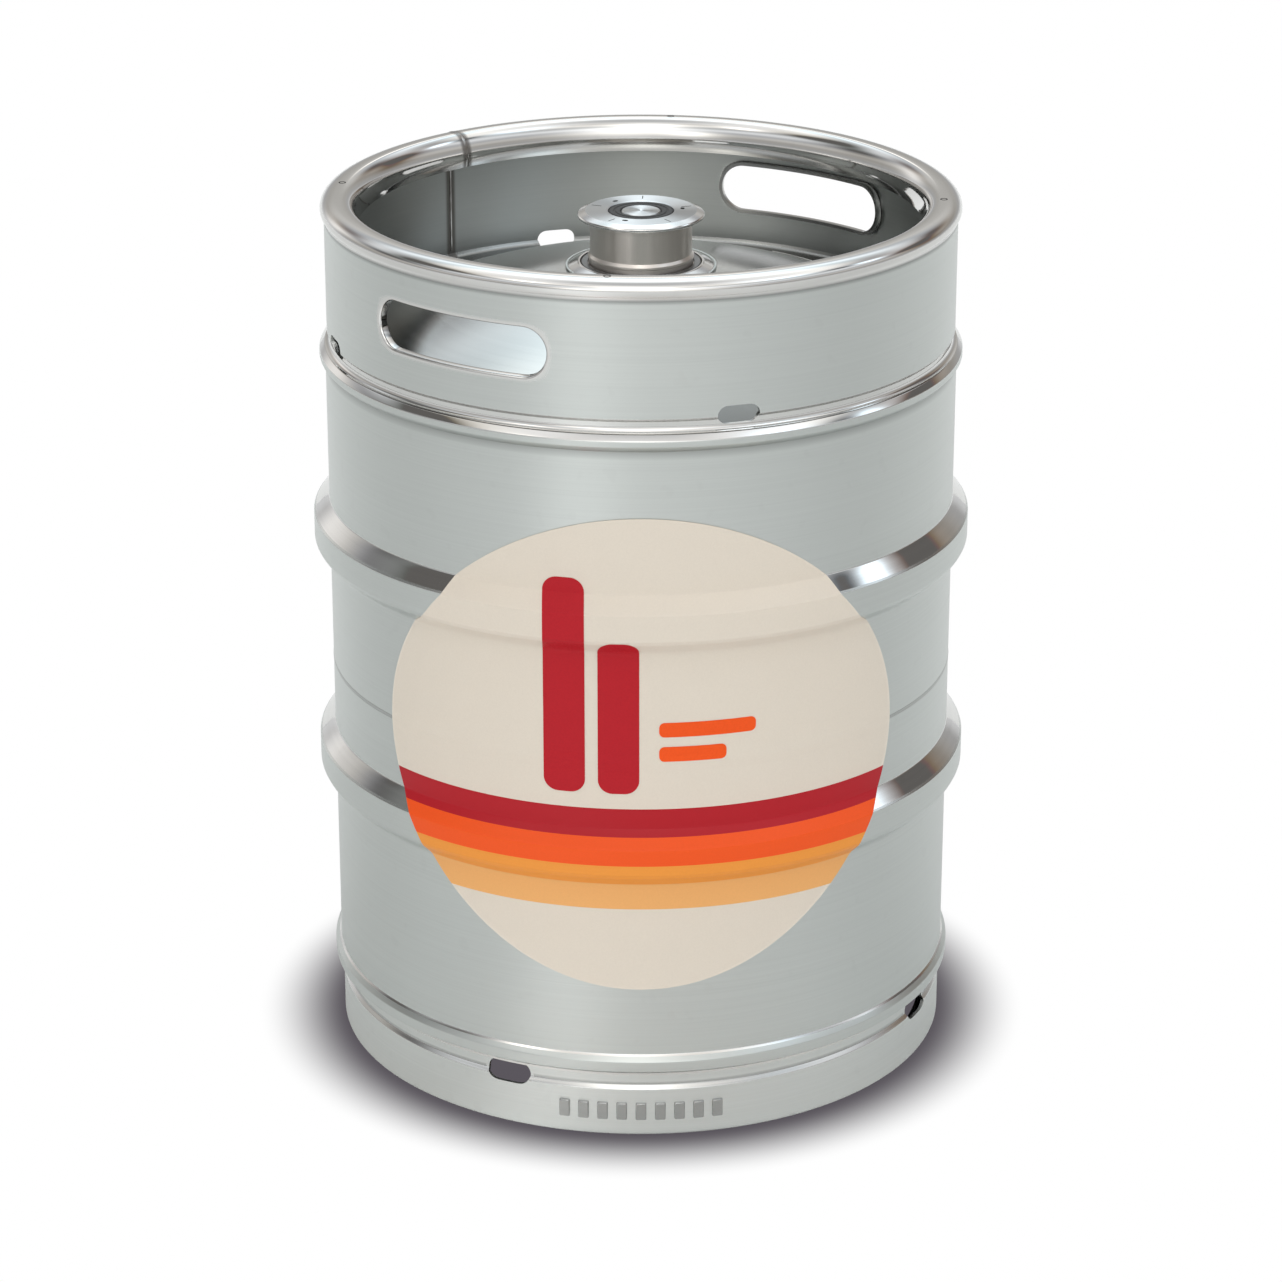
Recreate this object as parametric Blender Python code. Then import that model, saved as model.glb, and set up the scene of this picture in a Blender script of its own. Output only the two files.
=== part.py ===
"""Fifty-litre stainless steel beer keg with a flat-top spear fitting.

Units are metres, +Z is up and the keg stands on z = 0 with its axis on Z.  An azimuth is measured
from -Y (the side that carries the label) towards +X.
"""

import math

import bmesh
import bpy

FULL_TURN = 2.0 * math.pi
GAP = 0.0003

# Overall stack, from the floor up
BODY_RADIUS = 0.1900
FOOT_HEIGHT = 0.0430
BODY_LENGTH = 0.3996
TOP_CHIME_HEIGHT = 0.0894

# Sheet
SHELL_SHEET = 0.0018
CHIME_SHEET = 0.0020

# Rolling hoops
HOOP_PROUD = 0.0095
HOOP_FLANK = 0.0085
HOOP_CREST = 0.0170
HOOP_UNDERCUT = 0.0098
HOOP_EDGE = 0.0012
UPPER_HOOP_TO_SHOULDER = 0.0958
LOWER_HOOP_TO_FOOT = 0.1229

# Beads next to the chimes, and the dished ends
BEAD_PROUD = 0.0035
TOP_BEAD_HEIGHT = 0.0065
FOOT_BEAD_HEIGHT = 0.0081
BEAD_NECK = 0.0037
SHELF_INSET = 0.0015
KNUCKLE_INSET = 0.0060
DOME_RISE = 0.0434
DOME_DROP = 0.0310
DOME_RINGS = 4
DOME_FLAT_RADIUS = 0.0200

# Girth weld
WELD_HALF_WIDTH = 0.0010
WELD_PROUD = 0.0006
FILLET_LEG = 0.0017

# Chimes
CHIME_INSET = 0.0012
JOGGLE_DEPTH = 0.0021
JOGGLE_LENGTH = 0.0021
TOP_NECK = 0.0065
FOOT_NECK = 0.0100
RIM_FLARE = 0.0022
RIM_WIDTH = 0.0225
RIM_DEPTH = 0.0060
RIM_FLAT = 0.0040
RIM_NECK = 0.0110
RIM_LEG = 0.0160
RIM_START = math.radians(-40.0)
RIM_STEPS = 5
FOOT_FLAT = 0.0058
FOOT_CORNER = 0.0032
FOOT_LEG = 0.0140

# Handles and drain holes
HANDLE_AZIMUTHS = (math.radians(-34.5), math.radians(145.5))
HANDLE_LENGTH = 0.1195
HANDLE_HEIGHT = 0.0290
HANDLE_ABOVE_SHOULDER = 0.0444
LIP_RADIUS = 0.0026
LIP_BURY = 0.0015
TOP_DRAIN_AZIMUTHS = tuple(math.radians(17.0 + 90.0 * quarter) for quarter in range(4))
TOP_DRAIN_LENGTH = 0.0250
TOP_DRAIN_HEIGHT = 0.0120
TOP_DRAIN_ABOVE_SHOULDER = 0.0088
FOOT_DRAIN_AZIMUTHS = tuple(math.radians(-25.0 + 90.0 * quarter) for quarter in range(4))
FOOT_DRAIN_LENGTH = 0.0280
FOOT_DRAIN_HEIGHT = 0.0145
FOOT_DRAIN_BELOW_SHELF = 0.0094

# Neck boss, which is sized round the fitting's collar
COLLAR_RADIUS = 0.0358
BOSS_RADIUS = COLLAR_RADIUS + 0.0039
BOSS_FLANGE_RADIUS = COLLAR_RADIUS + 0.0080
BOSS_TOP_RADIUS = COLLAR_RADIUS + 0.0031
BOSS_RISE = 0.0030
BOSS_CHAMFER = 0.0018
BOSS_DEPTH = 0.0160
BOSS_WELD_WIDTH = 0.0024
THREAD_RADIUS = COLLAR_RADIUS - 0.0049

# Spear body
NECK_RADIUS = COLLAR_RADIUS - 0.0053
FLANGE_RADIUS = NECK_RADIUS + 0.0075
FLANGE_THICKNESS = 0.0040
FLANGE_ROUND = 0.0014
FITTING_RISE = 0.0310
NECK_LIP = 0.0013
NECK_LIP_RISE = 0.0038
COLLAR_THICKNESS = 0.0024
SEAL_THICKNESS = 0.0023
RING_THICKNESS = 0.0012
RING_GAP_WIDTH = 0.0070
RING_GAP_AZIMUTH = math.radians(200.0)
SEAT_LAND = 0.0030
SEAT_HEIGHT = 0.0035

# Valves, and the cavity they slide in
GAS_SEAL_RADIUS = 0.0194
CAVITY_RADIUS = GAS_SEAL_RADIUS + 0.0046
GAS_SEAL_SKIRT = GAS_SEAL_RADIUS + 0.0032
GAS_SEAL_DEPTH = 0.0108
PLUNGER_RADIUS = 0.0118
PLUNGER_FLANGE_RADIUS = 0.0138
PLUNGER_HEAD = 0.0061
PLUNGER_FLANGE_THICKNESS = 0.0016
PLUNGER_PILOT_RADIUS = 0.0095
PLUNGER_PILOT_LENGTH = 0.0040
TOP_RECESS = 0.0002
CARRIER_FLANGE_RADIUS = CAVITY_RADIUS - 0.0015
CARRIER_FLANGE_THICKNESS = 0.0032
CARRIER_WALL = 0.0023
CARRIER_LENGTH = 0.0270
SLIDE_CLEARANCE = 0.0004
TUBE_RADIUS = 0.0110
TUBE_WALL = 0.0010
TUBE_SOCKET = 0.0050
TUBE_FLARE_THICKNESS = 0.0010
TUBE_END_CLEARANCE = 0.0040
GAS_TRAVEL = 0.0060
SEAT_RING_THICKNESS = 0.0010
SEAT_RING_BORE = 0.0080

# Springs and cage
MAIN_WIRE_RADIUS = 0.0012
MAIN_MEAN_RADIUS = CAVITY_RADIUS - 0.0037
MAIN_TURNS = 7
BEER_WIRE_RADIUS = 0.0006
BEER_MEAN_RADIUS = 0.0116
BEER_TURNS = 5
COIL_STEPS = 12
CAGE_FLANGE_RADIUS = 0.0295
CAGE_FLANGE_THICKNESS = 0.0015
CAGE_SHEET = 0.0013
CAGE_DEPTH = 0.0215
CAGE_WINDOW_WIDTH = 0.0160
CAGE_WINDOW_HEIGHT = 0.0100
CAGE_WINDOWS = 4
GUIDE_WALL = 0.0020
GUIDE_LIP = 0.0024
GUIDE_LIP_THICKNESS = 0.0012

# Label and ticket
LABEL_RADIUS = 0.1475
LABEL_ABOVE_SEAM = 0.0025
LABEL_THICKNESS = 0.0003
LABEL_GAP = 0.0004
TICKET_AZIMUTH = math.radians(135.0)
TICKET_INNER_RADIUS = 0.1400
TICKET_OUTER_RADIUS = 0.1660
TICKET_FACETS = 2

# Facets
BODY_FACETS = 40
FITTING_FACETS = 24
FACET = FULL_TURN / BODY_FACETS
SHARP_ANGLE = math.radians(32.0)

# Heights and radii that follow from the sizes above
SHOULDER_Z = FOOT_HEIGHT + BODY_LENGTH
CREST_Z = SHOULDER_Z + TOP_CHIME_HEIGHT
SEAM_Z = 0.5 * (FOOT_HEIGHT + SHOULDER_Z)
HOOP_HEIGHT = HOOP_FLANK + HOOP_CREST + HOOP_UNDERCUT
UPPER_HOOP_Z = SHOULDER_Z - UPPER_HOOP_TO_SHOULDER - HOOP_HEIGHT
LOWER_HOOP_Z = FOOT_HEIGHT + LOWER_HOOP_TO_FOOT
CHIME_RADIUS = BODY_RADIUS - CHIME_INSET
SKIRT_RADIUS = CHIME_RADIUS - JOGGLE_DEPTH
KNUCKLE_RADIUS = BODY_RADIUS - KNUCKLE_INSET
BOSS_HOLE_RADIUS = BOSS_RADIUS + GAP
DOME_TOP_Z = SHOULDER_Z + DOME_RISE
DOME_BOTTOM_Z = FOOT_HEIGHT - DOME_DROP
BOSS_FLANGE_Z = DOME_TOP_Z + GAP
BOSS_TOP_Z = BOSS_FLANGE_Z + BOSS_RISE
BOSS_BOTTOM_Z = BOSS_TOP_Z - BOSS_DEPTH - BOSS_RISE
BOSS_RECESS_RADIUS = COLLAR_RADIUS + GAP + SLIDE_CLEARANCE
RING_TOP_Z = BOSS_TOP_Z - GAP
RING_BOTTOM_Z = RING_TOP_Z - RING_THICKNESS
COLLAR_TOP_Z = RING_BOTTOM_Z - GAP
COLLAR_BOTTOM_Z = COLLAR_TOP_Z - COLLAR_THICKNESS
SEAL_BOTTOM_Z = COLLAR_BOTTOM_Z - GAP - SEAL_THICKNESS
BOSS_STEP_Z = SEAL_BOTTOM_Z - GAP
BODY_BOTTOM_Z = BOSS_BOTTOM_Z - GAP
FLANGE_TOP_Z = BOSS_TOP_Z + FITTING_RISE
FLANGE_BOTTOM_Z = FLANGE_TOP_Z - FLANGE_THICKNESS
THROAT_RADIUS = GAS_SEAL_RADIUS + GAP
SEAT_TOP_Z = FLANGE_TOP_Z - SEAT_LAND
SEAT_BOTTOM_Z = SEAT_TOP_Z - SEAT_HEIGHT
VALVE_TOP_Z = FLANGE_TOP_Z - TOP_RECESS
GAS_SEAL_BOTTOM_Z = VALVE_TOP_Z - GAS_SEAL_DEPTH
CARRIER_TOP_Z = GAS_SEAL_BOTTOM_Z - GAP
CARRIER_SHELF_Z = CARRIER_TOP_Z - CARRIER_FLANGE_THICKNESS
CARRIER_BORE_RADIUS = PLUNGER_FLANGE_RADIUS + SLIDE_CLEARANCE
CARRIER_BARREL_RADIUS = CARRIER_BORE_RADIUS + CARRIER_WALL
CARRIER_BOTTOM_Z = CARRIER_TOP_Z - CARRIER_LENGTH
SOCKET_TOP_Z = CARRIER_BOTTOM_Z + TUBE_SOCKET
TUBE_FLARE_RADIUS = CARRIER_BORE_RADIUS - GAP
TUBE_TOP_Z = SOCKET_TOP_Z + GAP + TUBE_FLARE_THICKNESS
TUBE_END_Z = DOME_BOTTOM_Z + SHELL_SHEET + TUBE_END_CLEARANCE + GAS_TRAVEL
SEAT_RING_Z = TUBE_TOP_Z + GAP
PLUNGER_SHOULDER_Z = VALVE_TOP_Z - PLUNGER_HEAD
PLUNGER_SHELF_Z = PLUNGER_SHOULDER_Z - PLUNGER_FLANGE_THICKNESS
CAGE_TOP_Z = BODY_BOTTOM_Z - GAP
CAGE_FLOOR_Z = CAGE_TOP_Z - CAGE_DEPTH
CAGE_HOLE_RADIUS = TUBE_RADIUS + GAP + GUIDE_WALL + GAP


def finish(name, colour, metallic, roughness):
    """Return one principled material."""
    material = bpy.data.materials.new(name)
    material.use_nodes = True
    shader = material.node_tree.nodes["Principled BSDF"]
    shader.inputs["Base Color"].default_value = (*colour, 1.0)
    shader.inputs["Metallic"].default_value = metallic
    shader.inputs["Roughness"].default_value = roughness
    material.diffuse_color = (*colour, 1.0)
    return material


def place(name, mesh, material=None):
    """Link a mesh to the scene as a named object with its own material."""
    obj = bpy.data.objects.new(name, mesh)
    bpy.context.scene.collection.objects.link(obj)
    if material is not None:
        mesh.materials.append(material)
    mesh.shade_smooth()
    mesh.set_sharp_from_angle(angle=SHARP_ANGLE)
    return obj


def to_mesh(name, bm):
    """Close a bmesh into mesh data with its faces turned outward."""
    bmesh.ops.recalc_face_normals(bm, faces=bm.faces)
    mesh = bpy.data.meshes.new(name)
    bm.to_mesh(mesh)
    bm.free()
    return mesh


def polar(radius, azimuth, height):
    """Return the point at a radius, an azimuth and a height."""
    return (radius * math.sin(azimuth), -radius * math.cos(azimuth), height)


def turned(name, outline, material, facets, start=0.0, sweep=FULL_TURN):
    """Turn a closed outline of (radius, height) points about Z, fully or as a sector with end faces."""
    bm = bmesh.new()
    loop = [bm.verts.new(polar(radius, start, height)) for radius, height in outline]
    profile = bm.faces.new(loop)
    whole = sweep == FULL_TURN
    source = loop + list(profile.edges)
    if whole:
        bmesh.ops.delete(bm, geom=[profile], context="FACES_ONLY")
    else:
        source.append(profile)
    bmesh.ops.spin(bm, geom=source, cent=(0, 0, 0), axis=(0, 0, 1), angle=sweep,
                   steps=round(facets * sweep / FULL_TURN), use_merge=whole)
    return place(name, to_mesh(name, bm), material)


def turned_solid(name, line, material, facets):
    """Turn an open line of (radius, height) points about Z and close both its ends with flat discs."""
    bm = bmesh.new()
    verts = [bm.verts.new(polar(radius, 0.0, height)) for radius, height in line]
    edges = [bm.edges.new(pair) for pair in zip(verts, verts[1:])]
    bmesh.ops.spin(bm, geom=verts + edges, cent=(0, 0, 0), axis=(0, 0, 1), angle=FULL_TURN,
                   steps=facets, use_merge=True)
    bmesh.ops.holes_fill(bm, edges=[edge for edge in bm.edges if edge.is_boundary])
    return place(name, to_mesh(name, bm), material)


def hidden_tool(obj):
    """Mark an object as a shape that only cuts or joins another one."""
    obj.hide_render = True
    obj.display_type = "WIRE"
    return obj


def stadium_points(length, height, steps=4):
    """Return the outline of a slot with round ends as (across, up) points."""
    radius = 0.5 * height
    reach = 0.5 * length - radius
    points = []
    for side in (1, -1):
        for step in range(steps + 1):
            angle = math.pi * (step / steps - 0.5)
            points.append((side * (reach + radius * math.cos(angle)), side * radius * math.sin(angle)))
    return points


def radial_slot(name, length, height, azimuth, centre_z, inner, outer):
    """Return a slot-shaped cutter that points along one azimuth."""
    bm = bmesh.new()
    near = [bm.verts.new((across, -outer, centre_z + up))
            for across, up in stadium_points(length, height)]
    face = bm.faces.new(near)
    extruded = bmesh.ops.extrude_face_region(bm, geom=[face])
    moved = [item for item in extruded["geom"] if isinstance(item, bmesh.types.BMVert)]
    bmesh.ops.translate(bm, verts=moved, vec=(0, outer - inner, 0))
    obj = place(name, to_mesh(name, bm))
    obj.rotation_euler.z = azimuth
    return hidden_tool(obj)


def apply_shape(target, tool, operation):
    """Cut a tool from a target, or join it on, with an exact Boolean."""
    modifier = target.modifiers.new(tool.name, "BOOLEAN")
    modifier.object = tool
    modifier.operation = operation
    modifier.solver = "EXACT"


def wire(name, points, radius, material=None, cyclic=False, sides=1):
    """Return a round bar along a list of points."""
    curve = bpy.data.curves.new(name, "CURVE")
    curve.dimensions = "3D"
    curve.bevel_depth = radius
    curve.bevel_resolution = sides
    curve.use_fill_caps = not cyclic
    spline = curve.splines.new("POLY")
    spline.points.add(len(points) - 1)
    for target, point in zip(spline.points, points):
        target.co = (*point, 1.0)
    spline.use_cyclic_u = cyclic
    if material is not None:
        curve.materials.append(material)
    obj = bpy.data.objects.new(name, curve)
    bpy.context.scene.collection.objects.link(obj)
    return obj


def hoop_line(base_z, radius):
    """Return one rolling hoop as (radius, height) points, from its underside to its upper flank."""
    crest = radius + HOOP_PROUD
    under_top = base_z + HOOP_UNDERCUT
    flank_base = under_top + HOOP_CREST
    return [
        (radius, base_z),
        (crest - HOOP_EDGE, under_top - 2.0 * HOOP_EDGE),
        (crest, under_top),
        (crest, flank_base - HOOP_EDGE),
        (crest - HOOP_EDGE, flank_base),
        (radius, flank_base + HOOP_FLANK),
    ]


def dome_line(inner, edge_z, rise):
    """Return a dished end from the knuckle in to a radius, as a parabola of revolution."""
    points = []
    for ring in range(DOME_RINGS + 1):
        radius = KNUCKLE_RADIUS + (inner - KNUCKLE_RADIUS) * ring / DOME_RINGS
        share = (KNUCKLE_RADIUS ** 2 - radius ** 2) / (KNUCKLE_RADIUS ** 2 - inner ** 2)
        points.append((radius, edge_z + rise * share))
    return points


def bead_line(shelf_z, height, side):
    """Return the rolled bead beside a chime, from the body to the shelf (side 1 is the top)."""
    crest = BODY_RADIUS + BEAD_PROUD
    outer_z = shelf_z - side * SHELF_INSET
    lower_z = outer_z - side * (height - SHELF_INSET)
    return [
        (BODY_RADIUS, lower_z - side * BEAD_NECK),
        (crest, lower_z),
        (crest, outer_z),
        (BODY_RADIUS, shelf_z),
    ]


def upper_shell_outline():
    """Return the drawn upper half: wall, hoop, bead and dome."""
    sheet = SHELL_SHEET
    hoop = hoop_line(UPPER_HOOP_Z, BODY_RADIUS)
    bead = bead_line(SHOULDER_Z, TOP_BEAD_HEIGHT, 1)
    dome = dome_line(BOSS_HOLE_RADIUS, SHOULDER_Z, DOME_RISE)
    start_z = SEAM_Z + WELD_HALF_WIDTH + GAP
    outer = [(BODY_RADIUS, start_z)] + hoop + bead + dome
    inner_hoop = [(radius - sheet, height) for radius, height in hoop]
    inner_bead = [(radius - sheet, height - sheet) for radius, height in bead[:3]]
    inner_dome = [(radius - sheet, height - sheet) for radius, height in dome[:-1]]
    hole = [(BOSS_HOLE_RADIUS, DOME_TOP_Z - sheet)]
    inner = [(BODY_RADIUS - sheet, start_z)] + inner_hoop + inner_bead + inner_dome + hole
    return outer + inner[::-1]


def lower_shell_line():
    """Return the drawn lower half, from the middle of its inner face round to its outer face."""
    sheet = SHELL_SHEET
    hoop = hoop_line(LOWER_HOOP_Z, BODY_RADIUS)[::-1]
    bead = bead_line(FOOT_HEIGHT, FOOT_BEAD_HEIGHT, -1)
    dome = dome_line(DOME_FLAT_RADIUS, FOOT_HEIGHT, -DOME_DROP)
    start_z = SEAM_Z - WELD_HALF_WIDTH - GAP
    outer = [(BODY_RADIUS, start_z)] + hoop + bead + dome
    inner_hoop = [(radius - sheet, height) for radius, height in hoop]
    inner_bead = [(radius - sheet, height + sheet) for radius, height in bead[:3]]
    inner_dome = [(radius - sheet, height + sheet) for radius, height in dome]
    inner = [(BODY_RADIUS - sheet, start_z)] + inner_hoop + inner_bead + inner_dome
    return inner[::-1] + outer


def rim_line(inset):
    """Return the rolled rim from its outer side over the flat crest to its inner side."""
    centre = CHIME_RADIUS + RIM_FLARE - 0.5 * RIM_WIDTH
    centre_z = CREST_Z - RIM_DEPTH
    half_flat = 0.5 * RIM_FLAT
    reach = 0.5 * RIM_WIDTH - half_flat - inset
    rise = RIM_DEPTH - inset
    outside = [RIM_START + (0.5 * math.pi - RIM_START) * step / RIM_STEPS
               for step in range(RIM_STEPS + 1)]
    inside = [0.5 * math.pi + 0.5 * math.pi * step / RIM_STEPS for step in range(RIM_STEPS + 1)]
    points = [(centre + half_flat + reach * math.cos(angle), centre_z + rise * math.sin(angle))
              for angle in outside]
    points += [(centre - half_flat + reach * math.cos(angle), centre_z + rise * math.sin(angle))
               for angle in inside]
    return points


def top_chime_outline():
    """Return the top chime: weld skirt, joggle, wall, rolled rim and inner leg."""
    sheet = CHIME_SHEET
    rim_inner = CHIME_RADIUS + RIM_FLARE - RIM_WIDTH
    base_z = SHOULDER_Z + GAP
    joggle_z = SHOULDER_Z + TOP_NECK
    wall = [
        (SKIRT_RADIUS, base_z),
        (SKIRT_RADIUS, joggle_z),
        (CHIME_RADIUS, joggle_z + JOGGLE_LENGTH),
        (CHIME_RADIUS, CREST_Z - RIM_NECK),
    ]
    leg = [(rim_inner, CREST_Z - RIM_LEG), (rim_inner + sheet, CREST_Z - RIM_LEG)]
    back = [(radius - sheet, height) for radius, height in wall]
    return wall + rim_line(0.0) + leg + rim_line(sheet)[::-1] + back[::-1]


def foot_chime_outline():
    """Return the foot ring: weld skirt, joggle, wall, flat foot and inner leg."""
    sheet = CHIME_SHEET
    top_z = FOOT_HEIGHT - GAP
    joggle_z = FOOT_HEIGHT - FOOT_NECK
    flat_outer = CHIME_RADIUS - FOOT_CORNER
    flat_inner = flat_outer - FOOT_FLAT
    leg_radius = flat_inner - FOOT_CORNER
    diagonal = FOOT_CORNER * (1.0 - math.sqrt(0.5))
    outer = [
        (SKIRT_RADIUS, top_z),
        (SKIRT_RADIUS, joggle_z),
        (CHIME_RADIUS, joggle_z - JOGGLE_LENGTH),
        (CHIME_RADIUS, FOOT_CORNER),
        (CHIME_RADIUS - diagonal, diagonal),
        (flat_outer, 0.0),
        (flat_inner, 0.0),
        (leg_radius + diagonal, diagonal),
        (leg_radius, FOOT_CORNER),
        (leg_radius, FOOT_LEG),
    ]
    inner = [
        (leg_radius + sheet, FOOT_LEG),
        (leg_radius + sheet, FOOT_CORNER),
        (flat_inner, sheet),
        (flat_outer, sheet),
        (CHIME_RADIUS - sheet, FOOT_CORNER),
        (CHIME_RADIUS - sheet, joggle_z - JOGGLE_LENGTH),
        (SKIRT_RADIUS - sheet, joggle_z),
        (SKIRT_RADIUS - sheet, top_z),
    ]
    return outer + inner


def handle_lip(azimuth, number):
    """Return the curled lip that runs round one handle slot on the inside of the wall."""
    path_radius = CHIME_RADIUS - CHIME_SHEET - LIP_BURY
    centre_z = SHOULDER_Z + HANDLE_ABOVE_SHOULDER
    grow = 2.0 * LIP_RADIUS
    points = []
    for across, up in stadium_points(HANDLE_LENGTH + grow, HANDLE_HEIGHT + grow):
        turn = math.asin(across / path_radius)
        points.append(polar(path_radius, azimuth + turn, centre_z + up))
    guide = wire(f"handle_lip_guide_{number}", points, LIP_RADIUS, cyclic=True)
    bpy.context.view_layer.update()
    depsgraph = bpy.context.evaluated_depsgraph_get()
    mesh = bpy.data.meshes.new_from_object(guide.evaluated_get(depsgraph))
    bpy.data.objects.remove(guide)
    return hidden_tool(place(f"handle_lip_{number}", mesh))


def build_top_chime(steel):
    """Build the top chime with its handles and drain holes."""
    chime = turned("top_chime", top_chime_outline(), steel, BODY_FACETS)
    inner = CHIME_RADIUS - RIM_WIDTH
    outer = CHIME_RADIUS + RIM_WIDTH
    for number, azimuth in enumerate(HANDLE_AZIMUTHS):
        slot = radial_slot(f"handle_cut_{number}", HANDLE_LENGTH, HANDLE_HEIGHT, azimuth,
                           SHOULDER_Z + HANDLE_ABOVE_SHOULDER, inner, outer)
        apply_shape(chime, slot, "DIFFERENCE")
        apply_shape(chime, handle_lip(azimuth, number), "UNION")
    for number, azimuth in enumerate(TOP_DRAIN_AZIMUTHS):
        drain = radial_slot(f"top_drain_{number}", TOP_DRAIN_LENGTH, TOP_DRAIN_HEIGHT, azimuth,
                            SHOULDER_Z + TOP_DRAIN_ABOVE_SHOULDER, inner, outer)
        apply_shape(chime, drain, "DIFFERENCE")
    return chime


def build_foot_chime(steel):
    """Build the foot ring with its drain holes."""
    chime = turned("foot_chime", foot_chime_outline(), steel, BODY_FACETS)
    for number, azimuth in enumerate(FOOT_DRAIN_AZIMUTHS):
        drain = radial_slot(f"foot_drain_{number}", FOOT_DRAIN_LENGTH, FOOT_DRAIN_HEIGHT, azimuth,
                            FOOT_HEIGHT - FOOT_DRAIN_BELOW_SHELF, CHIME_RADIUS - RIM_WIDTH,
                            CHIME_RADIUS + RIM_WIDTH)
        apply_shape(chime, drain, "DIFFERENCE")
    return chime


def build_body(steel, weld):
    """Build the two drawn shells and the welds between the large pieces."""
    turned("upper_shell", upper_shell_outline(), steel, BODY_FACETS)
    turned_solid("lower_shell", lower_shell_line(), steel, BODY_FACETS)
    seam_outer = BODY_RADIUS + WELD_PROUD
    seam_inner = BODY_RADIUS - SHELL_SHEET
    turned("girth_weld", [
        (seam_inner, SEAM_Z - WELD_HALF_WIDTH),
        (BODY_RADIUS, SEAM_Z - WELD_HALF_WIDTH),
        (seam_outer, SEAM_Z),
        (BODY_RADIUS, SEAM_Z + WELD_HALF_WIDTH),
        (seam_inner, SEAM_Z + WELD_HALF_WIDTH),
    ], weld, BODY_FACETS)
    toe = SKIRT_RADIUS + GAP
    top_root = SHOULDER_Z + GAP
    turned("top_chime_weld", [
        (toe, top_root), (toe + FILLET_LEG, top_root), (toe, top_root + FILLET_LEG),
    ], weld, BODY_FACETS)
    foot_root = FOOT_HEIGHT - GAP
    turned("foot_chime_weld", [
        (toe, foot_root), (toe + FILLET_LEG, foot_root), (toe, foot_root - FILLET_LEG),
    ], weld, BODY_FACETS)


def dome_height(radius):
    """Return the height of the upper dome's outer face at a radius."""
    span = KNUCKLE_RADIUS ** 2 - BOSS_HOLE_RADIUS ** 2
    return SHOULDER_Z + DOME_RISE * (KNUCKLE_RADIUS ** 2 - radius ** 2) / span


def build_neck(steel, weld, rubber, spring_steel):
    """Build the welded neck boss, its weld, the neck seal and the retaining ring."""
    bore = THREAD_RADIUS + GAP
    turned("neck_boss", [
        (BOSS_RECESS_RADIUS, BOSS_TOP_Z),
        (BOSS_TOP_RADIUS, BOSS_TOP_Z),
        (BOSS_FLANGE_RADIUS, BOSS_TOP_Z - BOSS_CHAMFER),
        (BOSS_FLANGE_RADIUS, BOSS_FLANGE_Z),
        (BOSS_RADIUS, BOSS_FLANGE_Z),
        (BOSS_RADIUS, BOSS_BOTTOM_Z),
        (bore, BOSS_BOTTOM_Z),
        (bore, BOSS_STEP_Z),
        (BOSS_RECESS_RADIUS, BOSS_STEP_Z),
    ], steel, FITTING_FACETS)
    toe = BOSS_FLANGE_RADIUS + GAP
    heel = toe + BOSS_WELD_WIDTH
    turned("boss_weld", [
        (toe, DOME_TOP_Z + GAP),
        (heel, DOME_TOP_Z + GAP),
        (toe, BOSS_TOP_Z - BOSS_CHAMFER),
    ], weld, FITTING_FACETS)
    turned("neck_seal", [
        (THREAD_RADIUS + SLIDE_CLEARANCE, SEAL_BOTTOM_Z),
        (COLLAR_RADIUS, SEAL_BOTTOM_Z),
        (COLLAR_RADIUS, SEAL_BOTTOM_Z + SEAL_THICKNESS),
        (THREAD_RADIUS + SLIDE_CLEARANCE, SEAL_BOTTOM_Z + SEAL_THICKNESS),
    ], rubber, FITTING_FACETS)
    ring_inner = NECK_RADIUS + NECK_LIP
    ring = turned("retaining_ring", [
        (ring_inner, RING_BOTTOM_Z),
        (COLLAR_RADIUS, RING_BOTTOM_Z),
        (COLLAR_RADIUS, RING_TOP_Z),
        (ring_inner, RING_TOP_Z),
    ], spring_steel, FITTING_FACETS)
    split = radial_slot("ring_gap_cut", RING_GAP_WIDTH, 2.0 * COLLAR_THICKNESS, RING_GAP_AZIMUTH,
                        RING_BOTTOM_Z, NECK_RADIUS - NECK_LIP, BOSS_FLANGE_RADIUS)
    apply_shape(ring, split, "DIFFERENCE")


def build_spear_body(steel):
    """Build the fitting's body: coupler flange, neck, collar, threaded skirt and valve seat."""
    lip_radius = NECK_RADIUS + NECK_LIP
    lip_z = BOSS_TOP_Z + NECK_LIP_RISE
    stem_radius = ring_stem_radius()
    turned("spear_body", [
        (THROAT_RADIUS, FLANGE_TOP_Z),
        (FLANGE_RADIUS - FLANGE_ROUND, FLANGE_TOP_Z),
        (FLANGE_RADIUS, FLANGE_TOP_Z - FLANGE_ROUND),
        (FLANGE_RADIUS, FLANGE_BOTTOM_Z + FLANGE_ROUND),
        (FLANGE_RADIUS - FLANGE_ROUND, FLANGE_BOTTOM_Z),
        (NECK_RADIUS, FLANGE_BOTTOM_Z),
        (NECK_RADIUS, lip_z + NECK_LIP),
        (lip_radius, lip_z),
        (lip_radius, lip_z - NECK_LIP),
        (stem_radius, lip_z - NECK_LIP),
        (stem_radius, COLLAR_TOP_Z),
        (COLLAR_RADIUS, COLLAR_TOP_Z),
        (COLLAR_RADIUS, COLLAR_BOTTOM_Z),
        (THREAD_RADIUS, COLLAR_BOTTOM_Z),
        (THREAD_RADIUS, BODY_BOTTOM_Z),
        (CAVITY_RADIUS, BODY_BOTTOM_Z),
        (CAVITY_RADIUS, SEAT_BOTTOM_Z),
        (THROAT_RADIUS, SEAT_TOP_Z),
    ], steel, FITTING_FACETS)


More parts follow.
